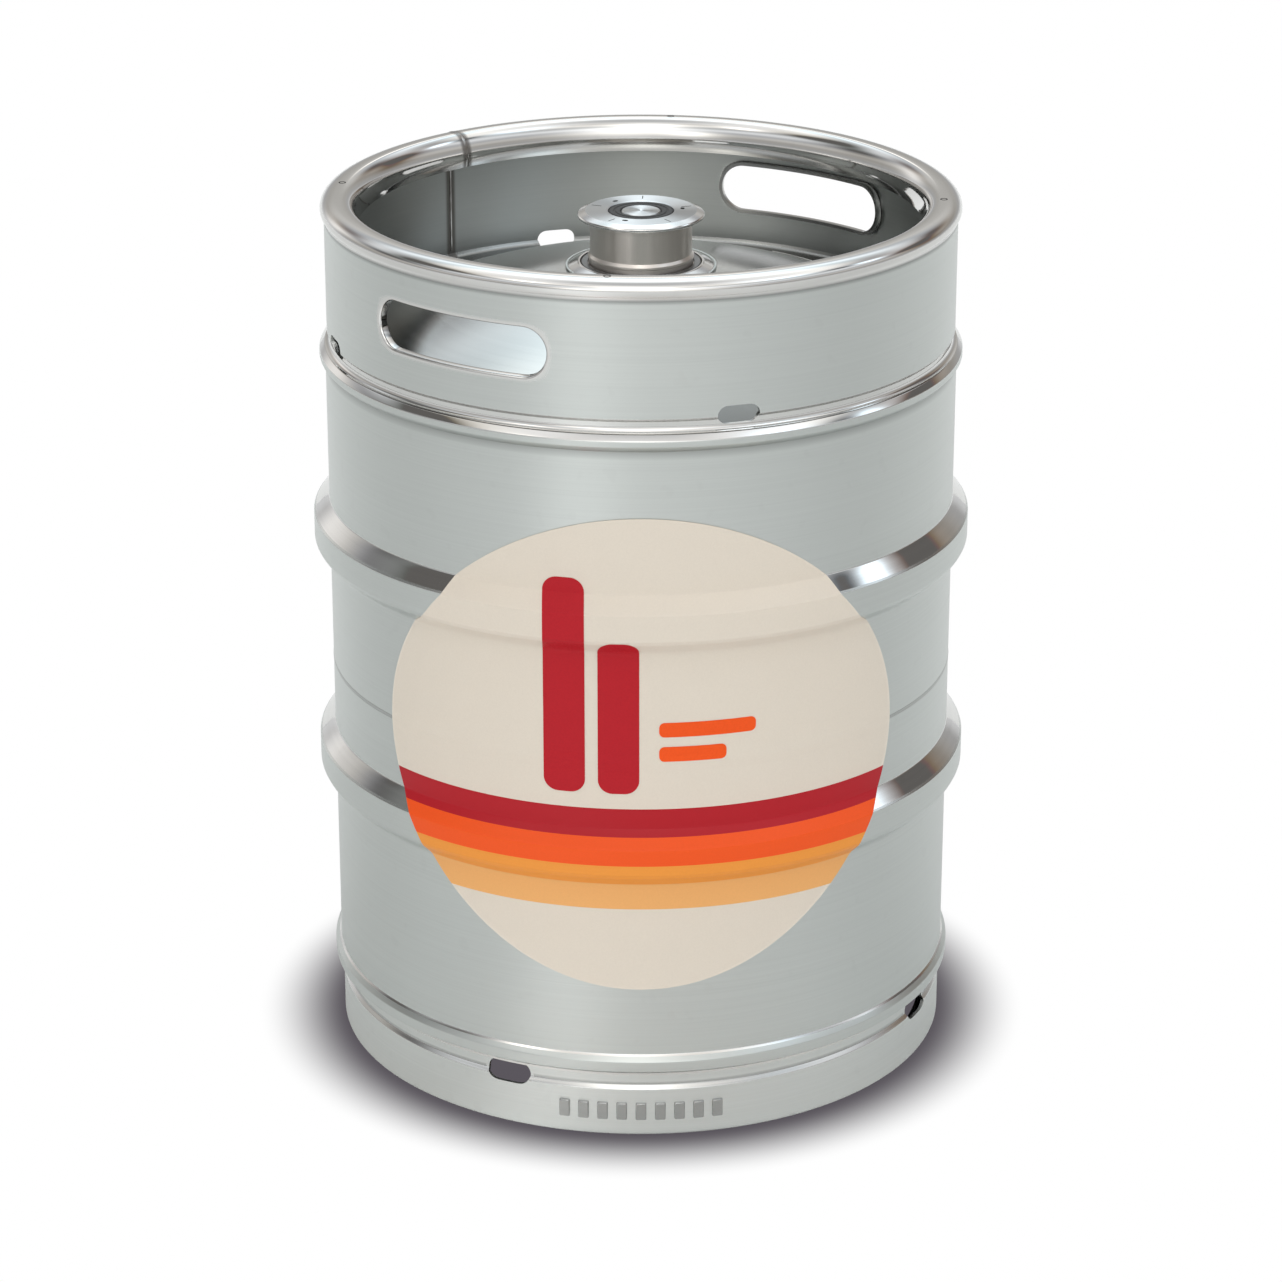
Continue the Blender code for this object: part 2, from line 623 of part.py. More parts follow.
def ring_stem_radius():
    """Return the radius of the fitting's stem where the retaining ring passes round it."""
    return NECK_RADIUS + NECK_LIP - 2.0 * GAP


def build_gas_valve(steel, rubber, plastic):
    """Build the moving gas valve: seal, carrier, down tube, spring seat and tube guide."""
    seal_bore = PLUNGER_RADIUS + GAP
    pocket = CARRIER_BORE_RADIUS
    seat_gap = 2.0 * GAP
    turned("gas_seal", [
        (seal_bore, VALVE_TOP_Z),
        (GAS_SEAL_RADIUS, VALVE_TOP_Z),
        (GAS_SEAL_RADIUS, SEAT_TOP_Z - seat_gap),
        (GAS_SEAL_SKIRT, SEAT_BOTTOM_Z - seat_gap),
        (GAS_SEAL_SKIRT, GAS_SEAL_BOTTOM_Z),
        (pocket, GAS_SEAL_BOTTOM_Z),
        (pocket, PLUNGER_SHOULDER_Z + GAP),
        (seal_bore, PLUNGER_SHOULDER_Z + GAP),
    ], rubber, FITTING_FACETS)
    socket = TUBE_RADIUS + GAP
    turned("valve_carrier", [
        (CARRIER_BORE_RADIUS, CARRIER_TOP_Z),
        (CARRIER_FLANGE_RADIUS, CARRIER_TOP_Z),
        (CARRIER_FLANGE_RADIUS, CARRIER_SHELF_Z),
        (CARRIER_BARREL_RADIUS, CARRIER_SHELF_Z),
        (CARRIER_BARREL_RADIUS, CARRIER_BOTTOM_Z),
        (socket, CARRIER_BOTTOM_Z),
        (socket, SOCKET_TOP_Z),
        (CARRIER_BORE_RADIUS, SOCKET_TOP_Z),
    ], steel, FITTING_FACETS)
    turned("down_tube", [
        (TUBE_RADIUS - TUBE_WALL, TUBE_TOP_Z),
        (TUBE_FLARE_RADIUS, TUBE_TOP_Z),
        (TUBE_FLARE_RADIUS, TUBE_TOP_Z - TUBE_FLARE_THICKNESS),
        (TUBE_RADIUS, TUBE_TOP_Z - TUBE_FLARE_THICKNESS),
        (TUBE_RADIUS, TUBE_END_Z),
        (TUBE_RADIUS - TUBE_WALL, TUBE_END_Z),
    ], steel, FITTING_FACETS)
    turned("beer_spring_seat", [
        (SEAT_RING_BORE, SEAT_RING_Z),
        (TUBE_FLARE_RADIUS, SEAT_RING_Z),
        (TUBE_FLARE_RADIUS, SEAT_RING_Z + SEAT_RING_THICKNESS),
        (SEAT_RING_BORE, SEAT_RING_Z + SEAT_RING_THICKNESS),
    ], plastic, FITTING_FACETS)
    guide_bore = TUBE_RADIUS + GAP
    guide_outer = guide_bore + GUIDE_WALL
    guide_lip_z = CAGE_FLOOR_Z + CAGE_SHEET + GAP
    turned("tube_guide", [
        (guide_bore, guide_lip_z + GUIDE_LIP_THICKNESS),
        (guide_outer + GUIDE_LIP, guide_lip_z + GUIDE_LIP_THICKNESS),
        (guide_outer + GUIDE_LIP, guide_lip_z),
        (guide_outer, guide_lip_z),
        (guide_outer, CAGE_FLOOR_Z - GUIDE_LIP_THICKNESS),
        (guide_bore, CAGE_FLOOR_Z - GUIDE_LIP_THICKNESS),
    ], plastic, FITTING_FACETS)


def build_beer_plunger(steel):
    """Build the central beer valve disc with the pilot that holds its spring."""
    pilot_z = PLUNGER_SHELF_Z - PLUNGER_PILOT_LENGTH
    turned_solid("beer_plunger", [
        (PLUNGER_RADIUS, VALVE_TOP_Z),
        (PLUNGER_RADIUS, PLUNGER_SHOULDER_Z),
        (PLUNGER_FLANGE_RADIUS, PLUNGER_SHOULDER_Z),
        (PLUNGER_FLANGE_RADIUS, PLUNGER_SHELF_Z),
        (PLUNGER_PILOT_RADIUS, PLUNGER_SHELF_Z),
        (PLUNGER_PILOT_RADIUS, pilot_z),
    ], steel, FITTING_FACETS)


def coil(name, mean_radius, wire_radius, bottom_z, top_z, turns, material):
    """Build a compression spring between two heights."""
    low = bottom_z + wire_radius + GAP
    high = top_z - wire_radius - GAP
    steps = turns * COIL_STEPS
    points = [polar(mean_radius, FULL_TURN * turns * step / steps, low + (high - low) * step / steps)
              for step in range(steps + 1)]
    return wire(name, points, wire_radius, material)


def build_springs(spring_steel):
    """Build the main spring under the gas valve and the small spring under the plunger."""
    coil("main_spring", MAIN_MEAN_RADIUS, MAIN_WIRE_RADIUS, CAGE_FLOOR_Z + CAGE_SHEET,
         CARRIER_SHELF_Z, MAIN_TURNS, spring_steel)
    coil("beer_spring", BEER_MEAN_RADIUS, BEER_WIRE_RADIUS, SEAT_RING_Z + SEAT_RING_THICKNESS,
         PLUNGER_SHELF_Z, BEER_TURNS, spring_steel)


def build_spring_cage(steel):
    """Build the cup that hangs under the fitting and holds the main spring."""
    wall_inner = CAVITY_RADIUS + GAP
    wall_outer = wall_inner + CAGE_SHEET
    flange_z = CAGE_TOP_Z - CAGE_FLANGE_THICKNESS
    cage = turned("spring_cage", [
        (wall_inner, CAGE_TOP_Z),
        (CAGE_FLANGE_RADIUS, CAGE_TOP_Z),
        (CAGE_FLANGE_RADIUS, flange_z),
        (wall_outer, flange_z),
        (wall_outer, CAGE_FLOOR_Z),
        (CAGE_HOLE_RADIUS, CAGE_FLOOR_Z),
        (CAGE_HOLE_RADIUS, CAGE_FLOOR_Z + CAGE_SHEET),
        (wall_inner, CAGE_FLOOR_Z + CAGE_SHEET),
    ], steel, FITTING_FACETS)
    centre_z = 0.5 * (flange_z + CAGE_FLOOR_Z + CAGE_SHEET)
    for number in range(CAGE_WINDOWS):
        azimuth = FULL_TURN * number / CAGE_WINDOWS
        window = radial_slot(f"cage_window_{number}", CAGE_WINDOW_WIDTH, CAGE_WINDOW_HEIGHT, azimuth,
                             centre_z, CAGE_HOLE_RADIUS, CAGE_FLANGE_RADIUS)
        apply_shape(cage, window, "DIFFERENCE")


def seam_bump(base, raised):
    """Return the label's step over the girth weld."""
    reach = 2.0 * WELD_HALF_WIDTH
    return [
        (base, SEAM_Z - 2.0 * reach),
        (raised, SEAM_Z - reach),
        (raised, SEAM_Z + reach),
        (base, SEAM_Z + 2.0 * reach),
    ]


def label_line(offset):
    """Return the face of the body under the label, moved out by an offset."""
    base = BODY_RADIUS + offset
    centre_z = SEAM_Z + LABEL_ABOVE_SEAM
    reach = LABEL_RADIUS + offset
    points = [(base, centre_z - reach)]
    points += hoop_line(LOWER_HOOP_Z, base)
    points += seam_bump(base, base + WELD_PROUD)
    points += hoop_line(UPPER_HOOP_Z, base)
    points += [(base, centre_z + reach)]
    return points


def build_label(film):
    """Build the round front label as a thin film that follows the hoops."""
    outline = label_line(LABEL_GAP) + label_line(LABEL_GAP + LABEL_THICKNESS)[::-1]
    half_facets = math.ceil(math.asin(min(LABEL_RADIUS / BODY_RADIUS, 1.0)) / FACET)
    label = turned("front_label", outline, film, BODY_FACETS, -half_facets * FACET,
                   2.0 * half_facets * FACET)
    bm = bmesh.new()
    bmesh.ops.create_cone(bm, cap_ends=True, segments=BODY_FACETS, radius1=LABEL_RADIUS,
                          radius2=LABEL_RADIUS, depth=BODY_RADIUS)
    disc = hidden_tool(place("label_disc", to_mesh("label_disc", bm)))
    disc.rotation_euler.x = 0.5 * math.pi
    disc.location = (0.0, -BODY_RADIUS, SEAM_Z + LABEL_ABOVE_SEAM)
    apply_shape(label, disc, "INTERSECT")


def build_ticket(paper):
    """Build the paper ticket that lies on the dome inside the chime."""
    heights = [(radius, dome_height(radius) + GAP)
               for radius in (TICKET_INNER_RADIUS, 0.5 * (TICKET_INNER_RADIUS + TICKET_OUTER_RADIUS),
                              TICKET_OUTER_RADIUS)]
    top = [(radius, height + LABEL_THICKNESS) for radius, height in heights]
    half = 0.5 * TICKET_FACETS * FACET
    turned("dome_ticket", heights + top[::-1], paper, BODY_FACETS, TICKET_AZIMUTH - half, 2.0 * half)


def main():
    """Clear the scene and build every piece of the keg."""
    for obj in list(bpy.data.objects):
        bpy.data.objects.remove(obj)
    steel = finish("brushed_steel", (0.62, 0.64, 0.63), 1.0, 0.32)
    bright = finish("bright_steel", (0.72, 0.73, 0.74), 1.0, 0.18)
    weld = finish("weld_metal", (0.42, 0.40, 0.38), 1.0, 0.40)
    spring_steel = finish("spring_steel", (0.30, 0.31, 0.33), 1.0, 0.35)
    rubber = finish("black_rubber", (0.02, 0.02, 0.02), 0.0, 0.60)
    plastic = finish("white_plastic", (0.80, 0.80, 0.78), 0.0, 0.45)
    film = finish("label_film", (0.88, 0.84, 0.78), 0.0, 0.45)
    paper = finish("ticket_paper", (0.85, 0.85, 0.83), 0.0, 0.70)
    build_body(steel, weld)
    build_top_chime(steel)
    build_foot_chime(steel)
    build_neck(bright, weld, rubber, spring_steel)
    build_spear_body(bright)
    build_gas_valve(bright, rubber, plastic)
    build_beer_plunger(bright)
    build_springs(spring_steel)
    build_spring_cage(steel)
    build_label(film)
    build_ticket(paper)


main()
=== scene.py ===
"""Looks of a fifty-litre stainless steel beer keg with a flat-top spear fitting.

Units are metres, +Z is up and the keg's axis is Z.  An azimuth is measured from -Y, the side that
carries the label, towards +X.
"""

from __future__ import annotations

import logging
import math
from dataclasses import dataclass
from enum import Enum
from typing import Callable, Sequence

import bmesh
import bpy
import numpy as np
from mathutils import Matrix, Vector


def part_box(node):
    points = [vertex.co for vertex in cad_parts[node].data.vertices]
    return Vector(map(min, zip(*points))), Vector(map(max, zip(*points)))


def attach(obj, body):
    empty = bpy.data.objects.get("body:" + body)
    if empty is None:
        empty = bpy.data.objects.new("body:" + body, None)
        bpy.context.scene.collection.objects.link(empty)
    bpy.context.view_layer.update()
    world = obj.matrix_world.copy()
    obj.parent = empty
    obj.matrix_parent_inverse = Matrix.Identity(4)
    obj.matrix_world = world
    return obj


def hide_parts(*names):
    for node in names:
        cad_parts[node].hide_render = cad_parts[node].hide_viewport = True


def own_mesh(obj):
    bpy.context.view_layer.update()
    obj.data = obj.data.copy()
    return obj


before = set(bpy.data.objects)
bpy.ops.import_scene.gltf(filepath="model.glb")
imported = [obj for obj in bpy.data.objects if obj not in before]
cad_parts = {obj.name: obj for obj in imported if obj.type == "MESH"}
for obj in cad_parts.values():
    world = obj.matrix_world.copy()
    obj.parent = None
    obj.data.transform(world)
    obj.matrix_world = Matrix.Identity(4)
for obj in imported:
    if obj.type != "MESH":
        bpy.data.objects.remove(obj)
LOG = logging.getLogger("keg")
FULL_TURN = 2.0 * math.pi
SEAM_AZIMUTH = math.radians(-140.0)

# Edges sharper than these stay crisp: on steel, on what a ring repeats, and on film and paper.
CRISP_DEGREES = 38.0
REPEAT_DEGREES = 50.0
FILM_DEGREES = 60.0

# Distances that count as nothing, and how much of a span one round may use up.
SAME_PLACE = 1e-6
STRAIGHT_ANGLE = 1e-3
LONGEST_ROUND = 0.48

Colour = tuple[float, float, float]
Triple = tuple[float, float, float]
Material = bpy.types.Material
Node = bpy.types.Node
NodeTree = bpy.types.NodeTree
Object = bpy.types.Object
Socket = bpy.types.NodeSocket


class Body(Enum):
    """The moving groups of the keg."""

    KEG = "keg"
    GAS_VALVE = "gas_valve"
    BEER_VALVE = "beer_valve"


class Slot(Enum):
    """The finish slots that a piece may take its look from."""

    SHELL = "shell_steel"
    CHIME = "chime_steel"
    BRIGHT = "bright_steel"
    WELD = "weld_metal"
    SPRING = "spring_steel"
    RUBBER = "black_rubber"
    PLASTIC = "white_plastic"
    FILM = "label_film"
    PAPER = "ticket_paper"


class Repeat(Enum):
    """Small shapes that a ring repeats."""

    RIPPLE = "ripple"
    BLOCK = "block"


def polar(radius: float, azimuth: float, height: float) -> Triple:
    """Return the point at a radius, an azimuth and a height."""
    return (radius * math.sin(azimuth), -radius * math.cos(azimuth), height)


def low_z(node: str) -> float:
    """Return the height of a frame node's lowest point, to a tenth of a millimetre."""
    return round(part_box(node)[0].z, 4)


def high_z(node: str) -> float:
    """Return the height of a frame node's highest point, to a tenth of a millimetre."""
    return round(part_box(node)[1].z, 4)


def reach_of(node: str) -> float:
    """Return the outer radius of a round frame node, to a tenth of a millimetre."""
    return round(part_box(node)[1].x, 4)


# ----------------------------------------
# Turned profiles and sheets
# ----------------------------------------


@dataclass(frozen=True)
class Corner:
    """One corner of a turned profile.

    ``polish`` belongs to the span that starts at this corner: 0 is satin and 1 is polished.
    """

    radius: float
    height: float
    rounding: float = 0.0
    polish: float = 0.0


class Profile:
    """A smooth line in the (radius, height) plane, made from corners with rounds."""

    def __init__(self, corners: Sequence[Corner], step: float = 0.003, arc_steps: int = 6,
                 closed: bool = False) -> None:
        """Round the corners and divide the straight spans.

        Args:
            corners: The corners in order.
            step: The longest straight piece that is left undivided.
            arc_steps: How many pieces a round has.
            closed: True if the last corner joins the first.
        """
        self.closed = closed
        places = [np.array((corner.radius, corner.height)) for corner in corners]
        count = len(places)
        spans: list[tuple[np.ndarray, np.ndarray, list[tuple[np.ndarray, float]]]] = []
        for index, corner in enumerate(corners):
            here = places[index]
            ends = not closed and index in (0, count - 1)
            if ends or corner.rounding <= 0.0:
                before = corners[index - 1].polish if index or closed else corner.polish
                level = 0.5 * (before + corner.polish)
                if ends and index == count - 1:
                    level = before
                spans.append((here, here, [(here, level)]))
                continue
            back = places[index - 1] - here
            ahead = places[(index + 1) % count] - here
            back_length, ahead_length = np.linalg.norm(back), np.linalg.norm(ahead)
            back, ahead = back / back_length, ahead / ahead_length
            angle = math.acos(float(np.clip(back @ ahead, -1.0, 1.0)))
            if math.pi - angle < STRAIGHT_ANGLE:
                spans.append((here, here, [(here, corner.polish)]))
                continue
            reach = min(corner.rounding / math.tan(0.5 * angle), LONGEST_ROUND * back_length,
                        LONGEST_ROUND * ahead_length)
            start, end = here + back * reach, here + ahead * reach
            arc = []
            for part in range(arc_steps + 1):
                share = part / arc_steps
                place = ((1 - share) ** 2 * start + 2 * share * (1 - share) * here
                         + share ** 2 * end)
                level = (1 - share) * corners[index - 1].polish + share * corner.polish
                arc.append((place, level))
            spans.append((start, end, arc))
        points: list[tuple[np.ndarray, float]] = []
        for index, (_, end, arc) in enumerate(spans):
            points.extend(arc)
            if index == count - 1 and not closed:
                break
            following = spans[(index + 1) % count][0]
            distance = float(np.linalg.norm(following - end))
            pieces = max(1, math.ceil(distance / step))
            for piece in range(1, pieces):
                share = piece / pieces
                points.append((end + (following - end) * share, corners[index].polish))
        kept = [points[0]]
        for place, level in points[1:]:
            if np.linalg.norm(place - kept[-1][0]) > SAME_PLACE:
                kept.append((place, level))
        self.radii = np.array([place[0] for place, _ in kept])
        self.heights = np.array([place[1] for place, _ in kept])
        self.polish = np.array([level for _, level in kept])
        steps = np.hypot(np.diff(self.radii), np.diff(self.heights))
        self.along = np.concatenate([[0.0], np.cumsum(steps)])

    def at(self, along: np.ndarray) -> tuple[np.ndarray, np.ndarray, np.ndarray]:
        """Return radius, height and polish at distances along the line."""
        return (np.interp(along, self.along, self.radii), np.interp(along, self.along, self.heights),
                np.interp(along, self.along, self.polish))

    def along_at_height(self, height: float, lowest: float = 0.0) -> float:
        """Find where the line passes a height.

        Args:
            height: The height.
            lowest: The distance along the line from which to look.

        Returns:
            The first such distance along the line.
        """
        for index in range(len(self.along) - 1):
            low, high = self.heights[index], self.heights[index + 1]
            if self.along[index] >= lowest and min(low, high) <= height <= max(low, high) \
                    and high != low:
                share = (height - low) / (high - low)
                return float(self.along[index] + share * (self.along[index + 1] - self.along[index]))
        raise ValueError(f"the line never passes {height}")


@dataclass(frozen=True)
class Opening:
    """A slot with round ends through a sheet, its place along the profile and its curled lip."""

    azimuth: float
    along: float
    length: float
    height: float
    lip: float = 0.0
    leg: float = 0.0
    margin: float = 0.004
    rings: int = 4


class MeshDraft:
    """Vertices, faces and per-point masks of a mesh that is being put together."""

    def __init__(self) -> None:
        """Start empty."""
        self.places: list[Triple] = []
        self.faces: list[tuple[int, ...]] = []
        self.polish: list[float] = []
        self.shade: list[float] = []

    def add(self, place: Triple, polish: float = 0.0,
            shade: float = 0.0) -> int:
        """Add a point.

        Args:
            place: Where it is.
            polish: How polished the steel is there, 0 to 1.
            shade: How much painted shade darkens the steel there, 0 to 1.

        Returns:
            The point's number.
        """
        self.places.append(place)
        self.polish.append(polish)
        self.shade.append(shade)
        return len(self.places) - 1

    def thicken(self, thickness: float, back_shade: float = 0.0) -> None:
        """Give the sheet a second face behind the first one, joined round every open edge.

        Args:
            thickness: How far the second face lies behind the first.
            back_shade: How much painted shade darkens the second face, which loses as much polish.
        """
        places = np.array(self.places)
        normals = np.zeros_like(places)
        for face in self.faces:
            corners = places[list(face)]
            normal = np.cross(corners[2] - corners[0], corners[-1] - corners[1])
            normals[list(face)] += normal / (np.linalg.norm(normal) + 1e-18)
        normals /= np.linalg.norm(normals, axis=1, keepdims=True) + 1e-18
        count = len(places)
        self.places += [tuple(place) for place in places - normals * thickness]
        self.polish += [level * (1.0 - back_shade) for level in self.polish]
        self.shade += [max(level, back_shade) for level in self.shade]
        single: dict[tuple[int, int], tuple[int, int]] = {}
        for face in self.faces:
            for first, second in zip(face, face[1:] + face[:1]):
                key = (min(first, second), max(first, second))
                if key in single:
                    del single[key]
                else:
                    single[key] = (first, second)
        front = list(self.faces)
        self.faces += [tuple(number + count for number in reversed(face)) for face in front]
        self.faces += [(second, first, first + count, second + count)
                       for first, second in single.values()]

    def to_object(self, name: str, sharp_degrees: float = CRISP_DEGREES) -> Object:
        """Make the draft an object.

        Args:
            name: The piece's name.
            sharp_degrees: The angle past which an edge stays crisp.

        Returns:
            The linked object.
        """
        mesh = bpy.data.meshes.new(name)
        mesh.from_pydata(self.places, [], self.faces)
        mesh.validate()
        for label, values in (("polish", self.polish), ("shade", self.shade)):
            layer = mesh.attributes.new(label, "FLOAT", "POINT")
            layer.data.foreach_set("value", np.array(values, np.float32))
        return link_mesh(name, mesh, sharp_degrees)


def link_mesh(name: str, mesh: bpy.types.Mesh,
              sharp_degrees: float = CRISP_DEGREES) -> Object:
    """Link a mesh to the scene as a smooth-shaded object.

    Args:
        name: The object's name.
        mesh: The mesh.
        sharp_degrees: The angle past which an edge stays crisp.

    Returns:
        The linked object.
    """
    obj = bpy.data.objects.new(name, mesh)
    bpy.context.scene.collection.objects.link(obj)
    mesh.shade_smooth()
    mesh.set_sharp_from_angle(angle=math.radians(sharp_degrees))
    return obj


class TurnedSheet:
    """A sheet of revolution with openings cut and curled in it."""

    OUTER_SIDE = 0.185
    # How much painted shade the dome gets inside the ring, away from the ring's wall.
    FAINT_PAINTED_SHADE = 0.15
    CURL_STEPS = 6

    def __init__(self, profile: Profile, columns: int, thickness: float,
                 openings: Sequence[Opening] = (), back_shade: float = 0.0,
                 painted_shade_within: Triple | None = None, painted_shade_line: Triple | None = None) -> None:
        """Keep the profile, the number of columns, the gauge and the openings.

        Args:
            profile: The line of the outer face.
            columns: How many columns a turn has.
            thickness: The gauge.
            openings: The slots through the sheet.
            back_shade: How much painted shade darkens the inner face.
            painted_shade_within: Two radii and a height; above it the outer face gets painted shade
                inside the second radius, full outside the first and faint within it.
            painted_shade_line: Two heights and a share of painted shade for the outer side between
                them.
        """
        self.back_shade = back_shade
        self.painted_shade_within = painted_shade_within
        self.painted_shade_line = painted_shade_line
        self.profile = profile
        self.columns = columns
        self.thickness = thickness
        self.openings = openings

    def build(self, name: str) -> Object:
        """Make the sheet.

        Args:
            name: The piece's name.

        Returns:
            The linked object.
        """
        draft = MeshDraft()
        profile, columns = self.profile, self.columns
        rows: list[list[int]] = []
        for radius, height, polish in zip(profile.radii, profile.heights, profile.polish):
            if radius < SAME_PLACE:
                rows.append([draft.add((0.0, 0.0, height), polish)] * columns)
                continue
            # Painted shade: dark bands in the hollow under the top ring and under the rim and the
            # beads.
            dull = self._painted_shade(float(radius), float(height))
            rows.append([draft.add(polar(radius, FULL_TURN * column / columns, height), polish,
                                   dull) for column in range(columns)])
        cut: set[tuple[int, int]] = set()
        for opening in self.openings:
            self._patch(draft, rows, opening, cut)
        for low in range(len(rows) - 1):
            for column in range(columns):
                if (low, column) in cut:
                    continue
                right = (column + 1) % columns
                loop = (rows[low][column], rows[low][right], rows[low + 1][right],
                        rows[low + 1][column])
                draft.faces.append(tuple(dict.fromkeys(loop)))
        used = {number for face in draft.faces for number in face}
        self._drop_unused(draft, used)
        if self.thickness > 0.0:
            draft.thicken(self.thickness, self.back_shade)
        return draft.to_object(name)

    def _painted_shade(self, radius: float, height: float) -> float:
        """Find how much painted shade darkens the outer face.

        Args:
            radius: The place's radius.
            height: The place's height.

        Returns:
            The painted shade there, 0 to 1.
        """
        if self.painted_shade_within and radius < self.painted_shade_within[1] and height > self.painted_shade_within[2]:
            return 1.0 if radius > self.painted_shade_within[0] else self.FAINT_PAINTED_SHADE
        if self.painted_shade_line and self.painted_shade_line[0] <= height <= self.painted_shade_line[1] \
                and radius > self.OUTER_SIDE:
            return self.painted_shade_line[2]
        return 0.0

    @staticmethod
    def _drop_unused(draft: MeshDraft, used: set[int]) -> None:
        """Remove the points that no face uses.

        Args:
            draft: The mesh.
            used: The numbers of the points to keep.
        """
        order = {number: place for place, number in enumerate(sorted(used))}
        draft.places = [draft.places[number] for number in sorted(used)]
        draft.polish = [draft.polish[number] for number in sorted(used)]
        draft.shade = [draft.shade[number] for number in sorted(used)]
        draft.faces = [tuple(order[number] for number in face) for face in draft.faces]

    def _patch(self, draft: MeshDraft, rows: list[list[int]], opening: Opening,
               cut: set[tuple[int, int]]) -> None:
        """Cut a rectangle of cells and fill it with rings that lead to the opening's edge.

        Args:
            draft: The mesh.
            rows: The numbers of the sheet's points, row by row.
            opening: The opening.
            cut: The cells that get no face, which this adds to.
        """
        profile, columns = self.profile, self.columns
        around = float(profile.at(np.array([opening.along]))[0][0])
        cell = FULL_TURN / columns
        radius = 0.5 * opening.height + opening.lip
        core = 0.5 * opening.length + opening.lip - radius
        reach_up = radius + opening.margin
        reach_across = (core + radius + opening.margin) / around
        low = max(int(np.searchsorted(profile.along, opening.along - reach_up)) - 1, 0)
        high = min(int(np.searchsorted(profile.along, opening.along + reach_up)),
                   len(profile.along) - 1)
        middle = opening.azimuth / cell
        left = math.floor(middle - reach_across / cell)
        right = math.ceil(middle + reach_across / cell)
        for row in range(low, high):
            for column in range(left, right):
                cut.add((row, column % columns))
        walk = [(low, column) for column in range(left, right)]
        walk += [(row, right) for row in range(low, high)]
        walk += [(high, column) for column in range(right, left, -1)]
        walk += [(row, left) for row in range(high, low, -1)]
        outer = [rows[row][column % columns] for row, column in walk]
        flat = np.array([((column * cell - opening.azimuth) * around,
                          profile.along[row] - opening.along) for row, column in walk])
        anchor = np.stack([np.clip(flat[:, 0], -core, core), np.zeros(len(flat))], axis=1)
        away = flat - anchor
        away /= np.linalg.norm(away, axis=1, keepdims=True)
        edge = anchor + away * radius
        previous = outer
        for ring in range(1, opening.rings + 1):
            share = ring / opening.rings
            spot = flat + (edge - flat) * share
            spot_radius, spot_height, spot_polish = profile.at(spot[:, 1] + opening.along)
            near = 1.0 if ring == opening.rings and opening.lip > 0.0 else 0.0
            current = [draft.add(polar(float(r), opening.azimuth + float(s) / around, float(z)),
                                 max(float(p), near))
                       for r, s, z, p in zip(spot_radius, spot[:, 0], spot_height, spot_polish)]
            self._join(draft, previous, current)
            previous = current
        if opening.lip <= 0.0:
            return
        turns = [(1.0 - math.sin(angle), 1.0 - math.cos(angle))
                 for angle in (0.5 * math.pi * step / self.CURL_STEPS
                               for step in range(1, self.CURL_STEPS + 1))]
        curls = [(opening.lip * side, opening.lip * deep) for side, deep in turns]
        curls.append((0.0, opening.lip + opening.leg))
        for side, deep in curls:
            spot = anchor + away * (radius - opening.lip + side)
            spot_radius, spot_height, _ = profile.at(spot[:, 1] + opening.along)
            # The curl's leg, turned into the hollow, gets full painted shade.
            current = [draft.add(polar(float(r) - deep, opening.azimuth + float(s) / around,
                                       float(z)), 1.0, 1.0 if deep > opening.lip else 0.0)
                       for r, s, z in zip(spot_radius, spot[:, 0], spot_height)]
            self._join(draft, previous, current)
            previous = current

    @staticmethod
    def _join(draft: MeshDraft, outer: list[int], inner: list[int]) -> None:
        """Fill the band between two rings that have as many points as each other.

        Args:
            draft: The mesh.
            outer: The outer ring's points.
            inner: The inner ring's points.
        """
        count = len(outer)
        for index in range(count):
            after = (index + 1) % count
            draft.faces.append((outer[index], outer[after], inner[after], inner[index]))


class TurnedSolid:
    """A solid of revolution from a closed profile, or from an open one that ends on the axis."""

    def __init__(self, profile: Profile, columns: int, start: float = 0.0,
                 sweep: float = FULL_TURN) -> None:
        """Keep the sizes.

        Args:
            profile: The line that is turned.
            columns: How many columns the sweep has.
            start: The azimuth where it starts.
            sweep: The angle it covers.
        """
        self.profile = profile
        self.columns = columns
        self.start = start
        self.sweep = sweep

    def build(self, name: str, sharp_degrees: float = CRISP_DEGREES) -> Object:
        """Make the solid.

        Args:
            name: The piece's name.
            sharp_degrees: The angle past which an edge stays crisp.

        Returns:
            The linked object, its faces turned outwards.
        """
        whole = self.sweep >= FULL_TURN
        count = self.columns if whole else self.columns + 1
        draft = MeshDraft()
        profile = self.profile
        rings = []
        for radius, height, polish in zip(profile.radii, profile.heights, profile.polish):
            if radius < SAME_PLACE:
                rings.append([draft.add((0.0, 0.0, height), polish)] * count)
                continue
            rings.append([draft.add(polar(radius, self.start + self.sweep * column / self.columns,
                                          height), polish) for column in range(count)])
        pairs = list(zip(rings, rings[1:]))
        if profile.closed:
            pairs.append((rings[-1], rings[0]))
        for low, high in pairs:
            for column in range(self.columns):
                right = (column + 1) % count
                loop = (low[column], low[right], high[right], high[column])
                draft.faces.append(tuple(dict.fromkeys(loop)))
        if not whole:
            draft.faces.append(tuple(ring[0] for ring in rings))
            draft.faces.append(tuple(ring[-1] for ring in reversed(rings)))
        obj = draft.to_object(name, sharp_degrees)
        turned = bmesh.new()
        turned.from_mesh(obj.data)
        bmesh.ops.recalc_face_normals(turned, faces=turned.faces)
        turned.to_mesh(obj.data)
        turned.free()
        obj.data.set_sharp_from_angle(angle=math.radians(sharp_degrees))
        return obj


# ----------------------------------------
# Geometry Nodes
# ----------------------------------------


